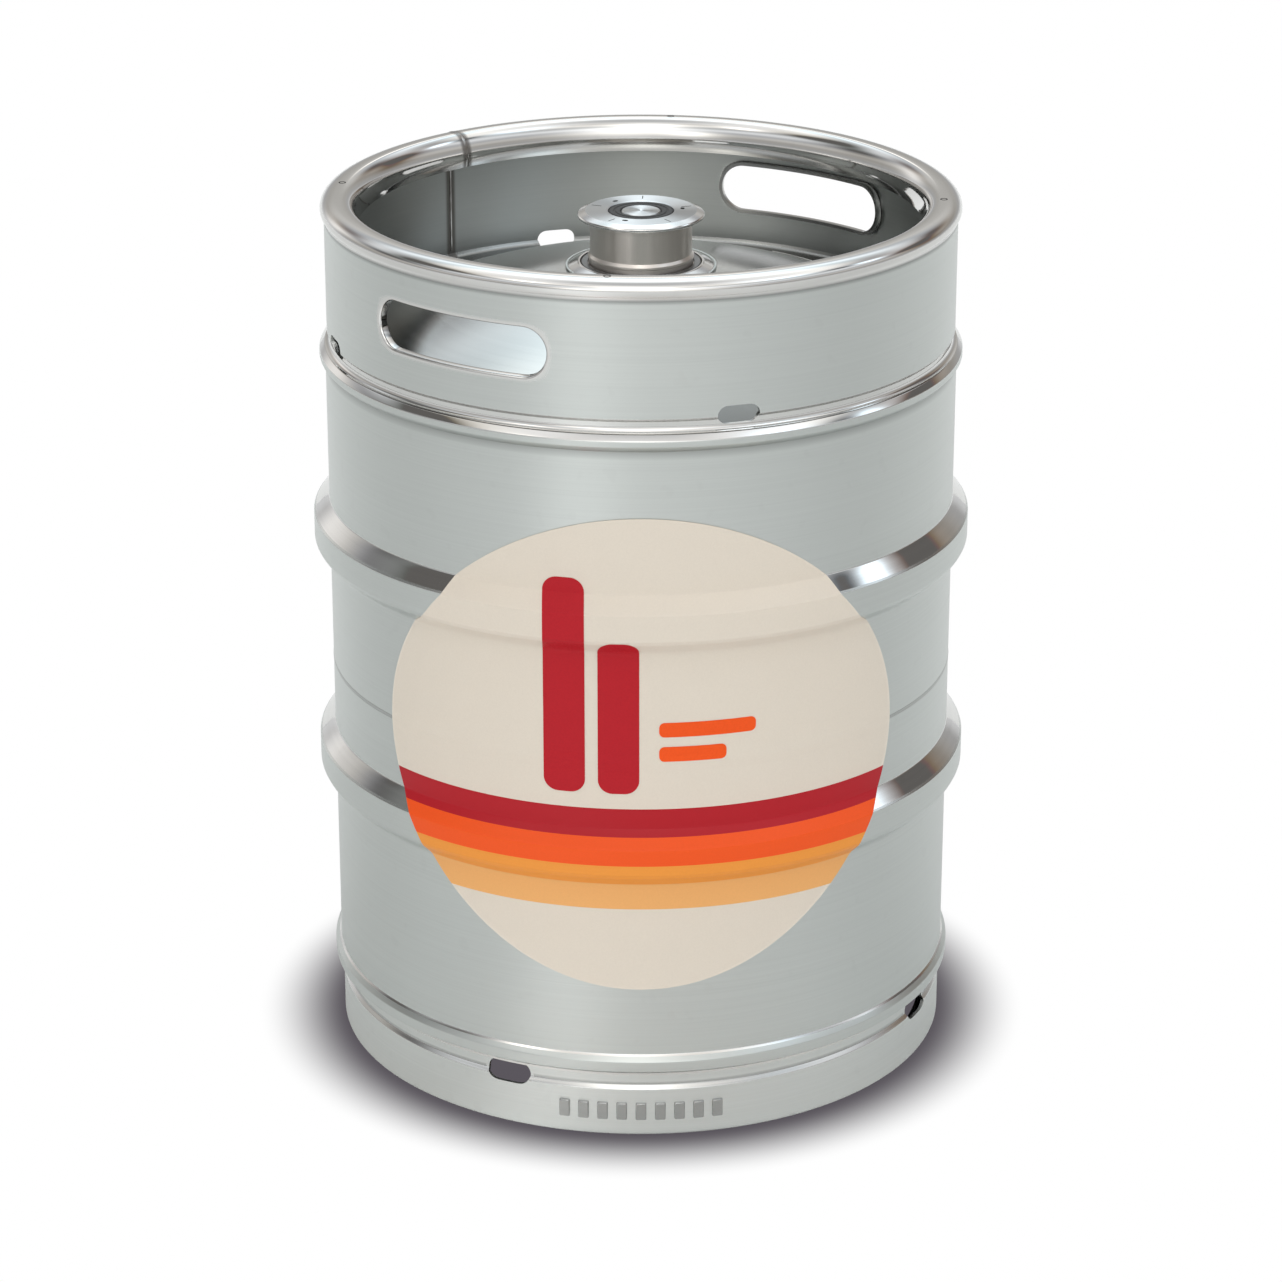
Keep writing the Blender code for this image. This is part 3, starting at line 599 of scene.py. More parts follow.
class NodeSheet:
    """Short ways to add and join nodes in one tree."""

    def __init__(self, tree: NodeTree) -> None:
        """Keep the tree."""
        self.tree = tree

    def add(self, kind: str, **settings: object) -> Node:
        """Add a node.

        Args:
            kind: Its type's name.
            settings: Values for its properties.

        Returns:
            The node.
        """
        node = self.tree.nodes.new(kind)
        for key, value in settings.items():
            setattr(node, key, value)
        return node

    def join(self, source: Socket, target: Socket) -> None:
        """Link two sockets."""
        self.tree.links.new(source, target)

    def maths(self, operation: str, first: object, second: object = None,
              clamp: bool = False) -> Socket:
        """Add a Math node.

        Args:
            operation: What it does.
            first: A socket or a number.
            second: A socket or a number, if it takes two.
            clamp: True to keep the result from 0 to 1.

        Returns:
            Its result.
        """
        node = self.add("ShaderNodeMath", operation=operation, use_clamp=clamp)
        for slot, value in zip(node.inputs, (first, second)):
            if isinstance(value, Socket):
                self.join(value, slot)
            elif value is not None:
                slot.default_value = value
        return node.outputs[0]

    def blend(self, factor: object, first: object, second: object,
              mode: str = "MIX") -> Socket:
        """Add a colour Mix node.

        Args:
            factor: The share of the second colour.
            first: A socket or a colour.
            second: A socket or a colour.
            mode: How they mix.

        Returns:
            Its result.
        """
        node = self.add("ShaderNodeMix", data_type="RGBA", blend_type=mode)
        for slot, value in ((node.inputs[0], factor), (node.inputs[6], first),
                            (node.inputs[7], second)):
            if isinstance(value, Socket):
                self.join(value, slot)
            elif isinstance(value, tuple):
                slot.default_value = (*value, 1.0)
            else:
                slot.default_value = value
        return node.outputs[2]

    def ramp(self, source: Socket, low: float, high: float, to_low: float = 0.0,
             to_high: float = 1.0, smooth: bool = True) -> Socket:
        """Add a Map Range node.

        Args:
            source: What it reads.
            low: Where its range starts.
            high: Where its range ends.
            to_low: What the start becomes.
            to_high: What the end becomes.
            smooth: False for a straight ramp.

        Returns:
            Its result.
        """
        node = self.add("ShaderNodeMapRange",
                        interpolation_type="SMOOTHSTEP" if smooth else "LINEAR")
        self.join(source, node.inputs[0])
        for slot, value in zip(node.inputs[1:5], (low, high, to_low, to_high)):
            slot.default_value = value
        return node.outputs[0]

    def vector(self, operation: str, first: Socket, second: object = None
               ) -> Node:
        """Add a Vector Math node.

        Args:
            operation: What it does.
            first: A socket.
            second: A socket, or a vector or scale, if it takes two.

        Returns:
            The node.
        """
        node = self.add("ShaderNodeVectorMath", operation=operation)
        self.join(first, node.inputs[0])
        slot = node.inputs["Scale"] if operation == "SCALE" else node.inputs[1]
        if isinstance(second, Socket):
            self.join(second, slot)
        elif second is not None:
            slot.default_value = second
        return node


def new_geometry_tree(name: str, inputs: dict[str, str]
                      ) -> tuple[NodeTree, NodeSheet, Node, Node]:
    """Start a geometry tree.

    Args:
        name: Its name.
        inputs: The type of each named input.

    Returns:
        The tree, its sheet and its two end nodes.
    """
    tree = bpy.data.node_groups.new(name, "GeometryNodeTree")
    tree.interface.new_socket(name="Geometry", in_out="OUTPUT", socket_type="NodeSocketGeometry")
    for label, kind in inputs.items():
        tree.interface.new_socket(name=label, in_out="INPUT", socket_type=kind)
    sheet = NodeSheet(tree)
    return tree, sheet, sheet.add("NodeGroupInput"), sheet.add("NodeGroupOutput")


def end_tree(sheet: NodeSheet, start: Node, shape: Node,
             end: Node) -> None:
    """Make a tree's instances real, give them its Material input and join them to its end.

    Args:
        sheet: The tree's sheet.
        start: The node with its inputs.
        shape: The node that gives the geometry.
        end: The node with its output.
    """
    real = sheet.add("GeometryNodeRealizeInstances")
    sheet.join(shape.outputs[0], real.inputs["Geometry"])
    paint = sheet.add("GeometryNodeSetMaterial")
    sheet.join(real.outputs[0], paint.inputs["Geometry"])
    sheet.join(start.outputs["Material"], paint.inputs["Material"])
    sheet.join(paint.outputs[0], end.inputs[0])


def run_tree(name: str, tree: NodeTree, values: dict[str, object]) -> Object:
    """Evaluate a geometry tree with its inputs set and return the result as a plain object.

    Args:
        name: The piece's name.
        tree: The geometry tree.
        values: A value for each named input.

    Returns:
        The linked object, with no modifier left on it.
    """
    maker = bpy.data.objects.new(f"{name}_maker", bpy.data.meshes.new(f"{name}_maker"))
    modifier = maker.modifiers.new("make", "NODES")
    modifier.node_group = tree
    for item in tree.interface.items_tree:
        if item.item_type == "SOCKET" and item.in_out == "INPUT" and item.name in values:
            modifier[item.identifier] = values[item.name]
    bpy.context.scene.collection.objects.link(maker)
    depsgraph = bpy.context.evaluated_depsgraph_get()
    mesh = bpy.data.meshes.new_from_object(maker.evaluated_get(depsgraph),
                                           preserve_all_data_layers=True, depsgraph=depsgraph)
    mesh.name = name
    bpy.data.objects.remove(maker)
    return link_mesh(name, mesh, REPEAT_DEGREES)


class RingOf:
    """A tree that repeats one small shape round the keg's axis."""

    RIPPLE_SEGMENTS = 8
    RIPPLE_RINGS = 6
    SEED = 7
    trees: dict[Repeat, NodeTree] = {}

    def __init__(self, repeat: Repeat) -> None:
        """Make the tree for this shape once."""
        if repeat not in RingOf.trees:
            RingOf.trees[repeat] = self._make(repeat)
        self.tree = RingOf.trees[repeat]

    @staticmethod
    def _make(repeat: Repeat) -> NodeTree:
        """Build the tree."""
        tree, sheet, start, end = new_geometry_tree(f"ring_of_{repeat.value}", {
            "Count": "NodeSocketInt", "First": "NodeSocketFloat", "Step": "NodeSocketFloat",
            "Radius": "NodeSocketFloat", "Height": "NodeSocketFloat", "Size": "NodeSocketVector",
            "Jitter": "NodeSocketFloat", "Material": "NodeSocketMaterial"})
        if repeat is Repeat.RIPPLE:
            shape = sheet.add("GeometryNodeMeshUVSphere")
            shape.inputs["Segments"].default_value = RingOf.RIPPLE_SEGMENTS
            shape.inputs["Rings"].default_value = RingOf.RIPPLE_RINGS
            shape.inputs["Radius"].default_value = 1.0
        else:
            shape = sheet.add("GeometryNodeMeshCube")
        grow = sheet.add("GeometryNodeTransform")
        sheet.join(shape.outputs[0], grow.inputs["Geometry"])
        sheet.join(start.outputs["Size"], grow.inputs["Scale"])
        back = sheet.maths("MULTIPLY", start.outputs["Radius"], -1.0)
        place = sheet.add("ShaderNodeCombineXYZ")
        sheet.join(back, place.inputs["Y"])
        sheet.join(start.outputs["Height"], place.inputs["Z"])
        move = sheet.add("GeometryNodeTransform")
        sheet.join(grow.outputs[0], move.inputs["Geometry"])
        sheet.join(place.outputs[0], move.inputs["Translation"])
        points = sheet.add("GeometryNodePoints")
        sheet.join(start.outputs["Count"], points.inputs["Count"])
        index = sheet.add("GeometryNodeInputIndex")
        turn = sheet.maths("MULTIPLY", index.outputs[0], start.outputs["Step"])
        turn = sheet.maths("ADD", turn, start.outputs["First"])
        chance = sheet.add("FunctionNodeRandomValue", data_type="FLOAT")
        chance.inputs[2].default_value = -0.5
        chance.inputs[3].default_value = 0.5
        chance.inputs["Seed"].default_value = RingOf.SEED
        wobble = sheet.maths("MULTIPLY", chance.outputs[1], start.outputs["Jitter"])
        turn = sheet.maths("ADD", turn, sheet.maths("MULTIPLY", wobble, start.outputs["Step"]))
        angles = sheet.add("ShaderNodeCombineXYZ")
        sheet.join(turn, angles.inputs["Z"])
        rotate = sheet.add("FunctionNodeEulerToRotation")
        sheet.join(angles.outputs[0], rotate.inputs[0])
        instances = sheet.add("GeometryNodeInstanceOnPoints")
        sheet.join(points.outputs[0], instances.inputs["Points"])
        sheet.join(move.outputs[0], instances.inputs["Instance"])
        sheet.join(rotate.outputs[0], instances.inputs["Rotation"])
        end_tree(sheet, start, instances, end)
        return tree

    def build(self, name: str, count: int, radius: float, height: float,
              size: Triple, material: Material,
              first: float = 0.0, step: float | None = None, jitter: float = 0.0
              ) -> Object:
        """Make the ring.

        Args:
            name: The piece's name.
            count: How many shapes the ring has.
            radius: The radius their centres lie on.
            height: The height of their centres.
            size: Half-sizes of a ripple or full sizes of a block: along, radial and up.
            material: The finish.
            first: The azimuth of the first one.
            step: The turn from one to the next, a full ring if it isn't given.
            jitter: The unevenness, as a share of the step.

        Returns:
            The linked object.
        """
        return run_tree(name, self.tree, {
            "Count": count, "First": first,
            "Step": FULL_TURN / count if step is None else step, "Radius": radius,
            "Height": height, "Size": size, "Jitter": jitter, "Material": material})


class CoilMaker:
    """A tree that winds a compression spring."""

    STEPS_PER_TURN = 40
    WIRE_SIDES = 12

    def __init__(self) -> None:
        """Build the tree."""
        tree, sheet, start, end = new_geometry_tree("coil", {
            "Turns": "NodeSocketFloat", "Radius": "NodeSocketFloat", "Bottom": "NodeSocketFloat",
            "Length": "NodeSocketFloat", "Wire": "NodeSocketFloat",
            "Material": "NodeSocketMaterial"})
        spiral = sheet.add("GeometryNodeCurveSpiral")
        spiral.inputs["Resolution"].default_value = self.STEPS_PER_TURN
        sheet.join(start.outputs["Turns"], spiral.inputs["Rotations"])
        sheet.join(start.outputs["Radius"], spiral.inputs["Start Radius"])
        sheet.join(start.outputs["Radius"], spiral.inputs["End Radius"])
        sheet.join(start.outputs["Length"], spiral.inputs["Height"])
        section = sheet.add("GeometryNodeCurvePrimitiveCircle")
        section.inputs["Resolution"].default_value = self.WIRE_SIDES
        sheet.join(start.outputs["Wire"], section.inputs["Radius"])
        sweep = sheet.add("GeometryNodeCurveToMesh")
        sweep.inputs["Fill Caps"].default_value = True
        sheet.join(spiral.outputs[0], sweep.inputs["Curve"])
        sheet.join(section.outputs[0], sweep.inputs["Profile Curve"])
        lift = sheet.add("ShaderNodeCombineXYZ")
        sheet.join(start.outputs["Bottom"], lift.inputs["Z"])
        move = sheet.add("GeometryNodeTransform")
        sheet.join(sweep.outputs[0], move.inputs["Geometry"])
        sheet.join(lift.outputs[0], move.inputs["Translation"])
        end_tree(sheet, start, move, end)
        self.tree = tree

    def build(self, name: str, turns: float, radius: float, wire: float, bottom: float,
              top: float, material: Material) -> Object:
        """Wind one spring.

        Args:
            name: The piece's name.
            turns: How many turns it has.
            radius: The radius of the wire's middle.
            wire: The wire's radius.
            bottom: The height of its foot.
            top: The height of its head.
            material: The finish.

        Returns:
            The linked object.
        """
        return run_tree(name, self.tree, {
            "Turns": turns, "Radius": radius, "Bottom": bottom + wire,
            "Length": top - bottom - 2.0 * wire, "Wire": wire, "Material": material})


# ----------------------------------------
# Finishes
# ----------------------------------------


def new_shader_group(name: str, inputs: dict[str, str], outputs: dict[str, str]
                     ) -> tuple[NodeTree, NodeSheet, Node, Node]:
    """Start a shader group.

    Args:
        name: Its name.
        inputs: The type of each named input.
        outputs: The type of each named output.

    Returns:
        The group, its sheet and its two end nodes.
    """
    tree = bpy.data.node_groups.new(name, "ShaderNodeTree")
    for label, kind in inputs.items():
        tree.interface.new_socket(name=label, in_out="INPUT", socket_type=kind)
    for label, kind in outputs.items():
        tree.interface.new_socket(name=label, in_out="OUTPUT", socket_type=kind)
    sheet = NodeSheet(tree)
    return tree, sheet, sheet.add("NodeGroupInput"), sheet.add("NodeGroupOutput")


def make_grain_group() -> NodeTree:
    """Return the group that gives brushed grain: fine lines and longer scratches."""
    tree, sheet, start, end = new_shader_group("brushed_grain", {
        "Coordinates": "NodeSocketVector", "Stretch": "NodeSocketVector"},
        {"Grain": "NodeSocketFloat", "Scratch": "NodeSocketFloat"})
    spread = sheet.vector("MULTIPLY", start.outputs[0], start.outputs[1])
    fine = sheet.add("ShaderNodeTexNoise")
    fine.inputs["Scale"].default_value = 1.0
    fine.inputs["Detail"].default_value = 4.0
    fine.inputs["Roughness"].default_value = 0.7
    sheet.join(spread.outputs[0], fine.inputs["Vector"])
    sheet.join(fine.outputs["Fac"], end.inputs["Grain"])
    coarse = sheet.vector("SCALE", spread.outputs[0], 0.23)
    long_lines = sheet.add("ShaderNodeTexNoise")
    long_lines.inputs["Scale"].default_value = 1.0
    long_lines.inputs["Detail"].default_value = 2.0
    sheet.join(coarse.outputs[0], long_lines.inputs["Vector"])
    sheet.join(sheet.ramp(long_lines.outputs["Fac"], 0.60, 0.78), end.inputs["Scratch"])
    return tree


def make_smudge_group() -> NodeTree:
    """Return the group that gives faint handling marks and water spots."""
    tree, sheet, start, end = new_shader_group("handling_marks", {
        "Coordinates": "NodeSocketVector", "Scale": "NodeSocketFloat"},
        {"Smudge": "NodeSocketFloat", "Spots": "NodeSocketFloat"})
    wide = sheet.add("ShaderNodeTexNoise")
    wide.inputs["Detail"].default_value = 3.0
    sheet.join(start.outputs[0], wide.inputs["Vector"])
    sheet.join(start.outputs[1], wide.inputs["Scale"])
    sheet.join(sheet.ramp(wide.outputs["Fac"], 0.42, 0.72), end.inputs["Smudge"])
    tight = sheet.add("ShaderNodeTexNoise")
    tight.inputs["Detail"].default_value = 1.0
    sheet.join(start.outputs[0], tight.inputs["Vector"])
    sheet.join(sheet.maths("MULTIPLY", start.outputs[1], 14.0), tight.inputs["Scale"])
    sheet.join(sheet.ramp(tight.outputs["Fac"], 0.66, 0.74), end.inputs["Spots"])
    return tree


class Effects:
    """The shared shader groups, made once."""

    made: dict[str, NodeTree] = {}

    @classmethod
    def place(cls, sheet: NodeSheet, name: str, maker: Callable[[], NodeTree]
              ) -> Node:
        """Put a shared group in a material.

        Args:
            sheet: The material's sheet.
            name: The group's short name.
            maker: What makes the group the first time.

        Returns:
            The group's node.
        """
        if name not in cls.made:
            cls.made[name] = maker()
        node = sheet.add("ShaderNodeGroup")
        node.node_tree = cls.made[name]
        return node


def start_material(name: str) -> tuple[Material, NodeSheet, Node, Socket]:
    """Return a new material, its sheet, its shader and its object coordinates."""
    material = bpy.data.materials.new(name)
    material.use_nodes = True
    sheet = NodeSheet(material.node_tree)
    shader = material.node_tree.nodes["Principled BSDF"]
    coordinates = sheet.add("ShaderNodeTexCoord")
    return material, sheet, shader, coordinates.outputs["Object"]


def spread_grain(sheet: NodeSheet, grain: Node, low: float, high: float
                 ) -> Socket:
    """Return the middle of the grain's range, spread between two values."""
    return sheet.ramp(grain.outputs["Grain"], 0.3, 0.7, low, high, smooth=False)


def add_bump(sheet: NodeSheet, shader: Node, height: Socket,
             strength: float, depth: float) -> None:
    """Raise a material's surface by a pattern.

    Args:
        sheet: The material's sheet.
        shader: The material's shader.
        height: The pattern.
        strength: How strongly it shows.
        depth: How deep it is.
    """
    bump = sheet.add("ShaderNodeBump")
    bump.inputs["Strength"].default_value = strength
    bump.inputs["Distance"].default_value = depth
    sheet.join(height, bump.inputs["Height"])
    sheet.join(bump.outputs[0], shader.inputs["Normal"])


@dataclass(frozen=True)
class Steel:
    """Stainless steel, satin where it is brushed and bright where it is polished."""

    name: str
    satin_colour: Colour = (0.640, 0.666, 0.650)
    bright_colour: Colour = (0.76, 0.75, 0.735)
    satin: float = 0.34
    bright: float = 0.065
    stretch: Triple = (3.0, 3.0, 900.0)
    depth: float = 0.00002
    grain_tone: float = 0.03
    tint: Colour | None = None
    seam_azimuth: float | None = None
    always_bright: bool = False
    turned_glint: float = 0.0
    concentric: bool = False
    # The share of the colour left where the shade attribute lays painted shade.
    painted_shade_tone: float = 0.74
    # How strong the painted glint wedges on a turned disc are.
    glint_wedges: float = 0.0
    mark_scale: float = 7.0
    smudge_roughness: float = 0.025
    scratch_roughness: float = 0.03
    spot_share: float = 0.05
    spot_colour: Colour = (0.42, 0.42, 0.41)
    heat_scale: float = 90.0
    seam_core: float = 0.0020
    seam_edge: float = 0.0046
    seam_share: float = 0.75
    seam_colour: Colour = (0.11, 0.095, 0.085)
    seam_roughness: float = 0.12

    def build(self) -> Material:
        """Make the material."""
        material, sheet, shader, place = start_material(self.name)
        grain = Effects.place(sheet, "grain", make_grain_group)
        sheet.join(self._rings(sheet, place) if self.concentric else place,
                   grain.inputs["Coordinates"])
        grain.inputs["Stretch"].default_value = self.stretch
        marks = Effects.place(sheet, "marks", make_smudge_group)
        sheet.join(place, marks.inputs["Coordinates"])
        marks.inputs["Scale"].default_value = self.mark_scale
        tone = spread_grain(sheet, grain, 1.0 - self.grain_tone, 1.0 + self.grain_tone)
        if self.always_bright:
            colour = sheet.blend(1.0, self.bright_colour, tone, "MULTIPLY")
            roughness = spread_grain(sheet, grain, self.bright, self.bright + 0.06)
            height = grain.outputs["Grain"]
        else:
            polish = sheet.add("ShaderNodeAttribute", attribute_name="polish")
            level = polish.outputs["Fac"]
            colour = sheet.blend(level, self.satin_colour, self.bright_colour)
            colour = sheet.blend(1.0, colour, tone, "MULTIPLY")
            rough = spread_grain(sheet, grain, self.satin - 0.02, self.satin + 0.02)
            satin_share = sheet.maths("SUBTRACT", 1.0, level)
            rough = sheet.maths("MULTIPLY", rough, satin_share)
            roughness = sheet.maths("ADD", rough, sheet.maths("MULTIPLY", level, self.bright))
            height = sheet.maths("MULTIPLY", grain.outputs["Grain"], satin_share)
            # Painted shade: where the shade attribute is set, the colour darkens.
            shade = sheet.add("ShaderNodeAttribute", attribute_name="shade")
            colour = sheet.blend(shade.outputs["Fac"], colour,
                                 sheet.blend(1.0, colour, (self.painted_shade_tone,) * 3, "MULTIPLY"))
        smudge = sheet.maths("MULTIPLY", marks.outputs["Smudge"], self.smudge_roughness)
        roughness = sheet.maths("ADD", roughness, smudge)
        scratch = sheet.maths("MULTIPLY", grain.outputs["Scratch"], self.scratch_roughness)
        roughness = sheet.maths("ADD", roughness, scratch, True)
        spots = sheet.maths("MULTIPLY", marks.outputs["Spots"], self.spot_share)
        colour = sheet.blend(spots, colour, self.spot_colour)
        # Painted highlight: light and dark wedges stand in for a turned disc's glint.
        if self.glint_wedges > 0.0:
            colour = self._wedges(sheet, place, colour)
        if self.tint is not None:
            heat = sheet.add("ShaderNodeTexNoise")
            heat.inputs["Scale"].default_value = self.heat_scale
            sheet.join(place, heat.inputs["Vector"])
            colour = sheet.blend(sheet.ramp(heat.outputs["Fac"], 0.35, 0.65, 0.1, 0.7), colour,
                                 self.tint)
        if self.seam_azimuth is not None:
            colour, roughness = self._seam(sheet, place, colour, roughness)
        sheet.join(colour, shader.inputs["Base Color"])
        sheet.join(roughness, shader.inputs["Roughness"])
        shader.inputs["Metallic"].default_value = 1.0
        if self.turned_glint > 0.0:
            shader.inputs["Anisotropic"].default_value = self.turned_glint
            shader.inputs["Anisotropic Rotation"].default_value = 0.25
            tangent = sheet.add("ShaderNodeTangent", direction_type="RADIAL", axis="Z")
            sheet.join(tangent.outputs[0], shader.inputs["Tangent"])
        add_bump(sheet, shader, height, 0.5, self.depth)
        return material

    def _wedges(self, sheet: NodeSheet, place: Socket,
                colour: Socket) -> Socket:
        """Add painted light and dark wedges: a turned flat disc's glint, painted into its colour.

        Args:
            sheet: The material's sheet.
            place: The object coordinates.
            colour: The colour so far.

        Returns:
            The colour with its wedges.
        """
        split = sheet.add("ShaderNodeSeparateXYZ")
        sheet.join(place, split.inputs[0])
        turn = sheet.maths("ARCTAN2", split.outputs["X"], split.outputs["Y"])
        first = sheet.maths("SINE", sheet.maths("ADD", sheet.maths("MULTIPLY", turn, 2.0), 0.9))
        second = sheet.maths("SINE", sheet.maths("ADD", sheet.maths("MULTIPLY", turn, 5.0), 2.1))
        total = sheet.maths("ADD", first, sheet.maths("MULTIPLY", second, 0.45))
        tone = sheet.ramp(total, -1.3, 1.3, 1.0 - self.glint_wedges, 1.0 + self.glint_wedges, smooth=False)
        return sheet.blend(1.0, colour, tone, "MULTIPLY")

    @staticmethod
    def _rings(sheet: NodeSheet, place: Socket) -> Socket:
        """Make coordinates that only change with the distance from the axis.

        Args:
            sheet: The material's sheet.
            place: The object coordinates.

        Returns:
            The new coordinates.
        """
        flat = sheet.vector("MULTIPLY", place, (1.0, 1.0, 0.0))
        length = sheet.vector("LENGTH", flat.outputs[0])
        line = sheet.add("ShaderNodeCombineXYZ")
        sheet.join(length.outputs["Value"], line.inputs["X"])
        return line.outputs[0]

    def _seam(self, sheet: NodeSheet, place: Socket, colour: Socket, roughness: Socket
              ) -> tuple[Socket, Socket]:
        """Add the heat-tinted band beside the upright seam of a rolled ring.

        Args:
            sheet: The material's sheet.
            place: The object coordinates.
            colour: The colour so far.
            roughness: The roughness so far.

        Returns:
            The colour and the roughness with the band.
        """
        side = sheet.vector("DOT_PRODUCT", place,
                            polar(1.0, self.seam_azimuth + 0.5 * math.pi, 0.0))
        front = sheet.vector("DOT_PRODUCT", place, polar(1.0, self.seam_azimuth, 0.0))
        near = sheet.maths("GREATER_THAN", front.outputs["Value"], 0.0)
        offset = sheet.maths("ABSOLUTE", side.outputs["Value"])
        fade = sheet.ramp(offset, self.seam_core, self.seam_edge, 1.0, 0.0)
        band = sheet.maths("MULTIPLY", fade, near)
        colour = sheet.blend(sheet.maths("MULTIPLY", band, self.seam_share), colour,
                             self.seam_colour)
        rough = sheet.maths("MULTIPLY", band, self.seam_roughness)
        roughness = sheet.maths("ADD", roughness, rough, True)
        return colour, roughness


@dataclass(frozen=True)
class Plain:
    """A moulded or printed finish: a base colour with a fine mottle and its own tooth."""

    name: str
    colour: Colour
    second: Colour
    roughness: float
    scale: float
    depth: float
    coat: float = 0.0
    shine: float = 0.5
    mark_scale: float = 60.0

    def build(self) -> Material:
        """Make the material."""
        material, sheet, shader, place = start_material(self.name)
        mottle = sheet.add("ShaderNodeTexNoise")
        mottle.inputs["Scale"].default_value = self.scale
        mottle.inputs["Detail"].default_value = 5.0
        sheet.join(place, mottle.inputs["Vector"])
        marks = Effects.place(sheet, "marks", make_smudge_group)
        sheet.join(place, marks.inputs["Coordinates"])
        marks.inputs["Scale"].default_value = self.mark_scale
        share = sheet.ramp(mottle.outputs["Fac"], 0.35, 0.7)
        share = sheet.maths("ADD", share, sheet.maths("MULTIPLY", marks.outputs["Smudge"], 0.3),
                            True)
        sheet.join(sheet.blend(share, self.colour, self.second), shader.inputs["Base Color"])
        sheet.join(sheet.ramp(mottle.outputs["Fac"], 0.3, 0.7, self.roughness - 0.06,
                              self.roughness + 0.06), shader.inputs["Roughness"])
        shader.inputs["Coat Weight"].default_value = self.coat
        shader.inputs["Specular IOR Level"].default_value = self.shine
        add_bump(sheet, shader, mottle.outputs["Fac"], 0.6, self.depth)
        return material


@dataclass(frozen=True)
class Band:
    """One flat printed colour from a height downwards."""

    top: float
    colour: Colour


@dataclass(frozen=True)
class PrintedFilm:
    """Clear-backed label film: a cream print with plain level bands."""

    name: str
    ground: Colour
    bands: tuple[Band, ...]
    bottom: float
    cover: float = 0.72
    inked_cover: float = 0.99
    roughness: float = 0.40
    depth: float = 0.00002
    coat: float = 0.04
    coat_roughness: float = 0.25
    shine: float = 0.25

    def build(self) -> Material:
        """Make the material."""
        material, sheet, shader, place = start_material(self.name)
        split = sheet.add("ShaderNodeSeparateXYZ")
        sheet.join(place, split.inputs[0])
        height = split.outputs["Z"]
        grain = Effects.place(sheet, "grain", make_grain_group)
        sheet.join(place, grain.inputs["Coordinates"])
        grain.inputs["Stretch"].default_value = (900.0, 900.0, 900.0)
        colour: object = self.ground
        for band in self.bands:
            colour = sheet.blend(sheet.maths("LESS_THAN", height, band.top), colour, band.colour)
        colour = sheet.blend(sheet.maths("LESS_THAN", height, self.bottom), colour, self.ground)
        colour = sheet.blend(1.0, colour, spread_grain(sheet, grain, 0.975, 1.02), "MULTIPLY")
        sheet.join(colour, shader.inputs["Base Color"])
        sheet.join(spread_grain(sheet, grain, self.roughness - 0.04, self.roughness + 0.04),
                   shader.inputs["Roughness"])
        inked = sheet.maths("MULTIPLY", sheet.maths("LESS_THAN", height, self.bands[0].top),
                            sheet.maths("GREATER_THAN", height, self.bottom))
        sheet.join(sheet.ramp(inked, 0.0, 1.0, self.cover, self.inked_cover, smooth=False),
                   shader.inputs["Alpha"])
        shader.inputs["Coat Weight"].default_value = self.coat
        shader.inputs["Coat Roughness"].default_value = self.coat_roughness
        shader.inputs["Specular IOR Level"].default_value = self.shine
        add_bump(sheet, shader, grain.outputs["Grain"], 0.2, self.depth)
        return material


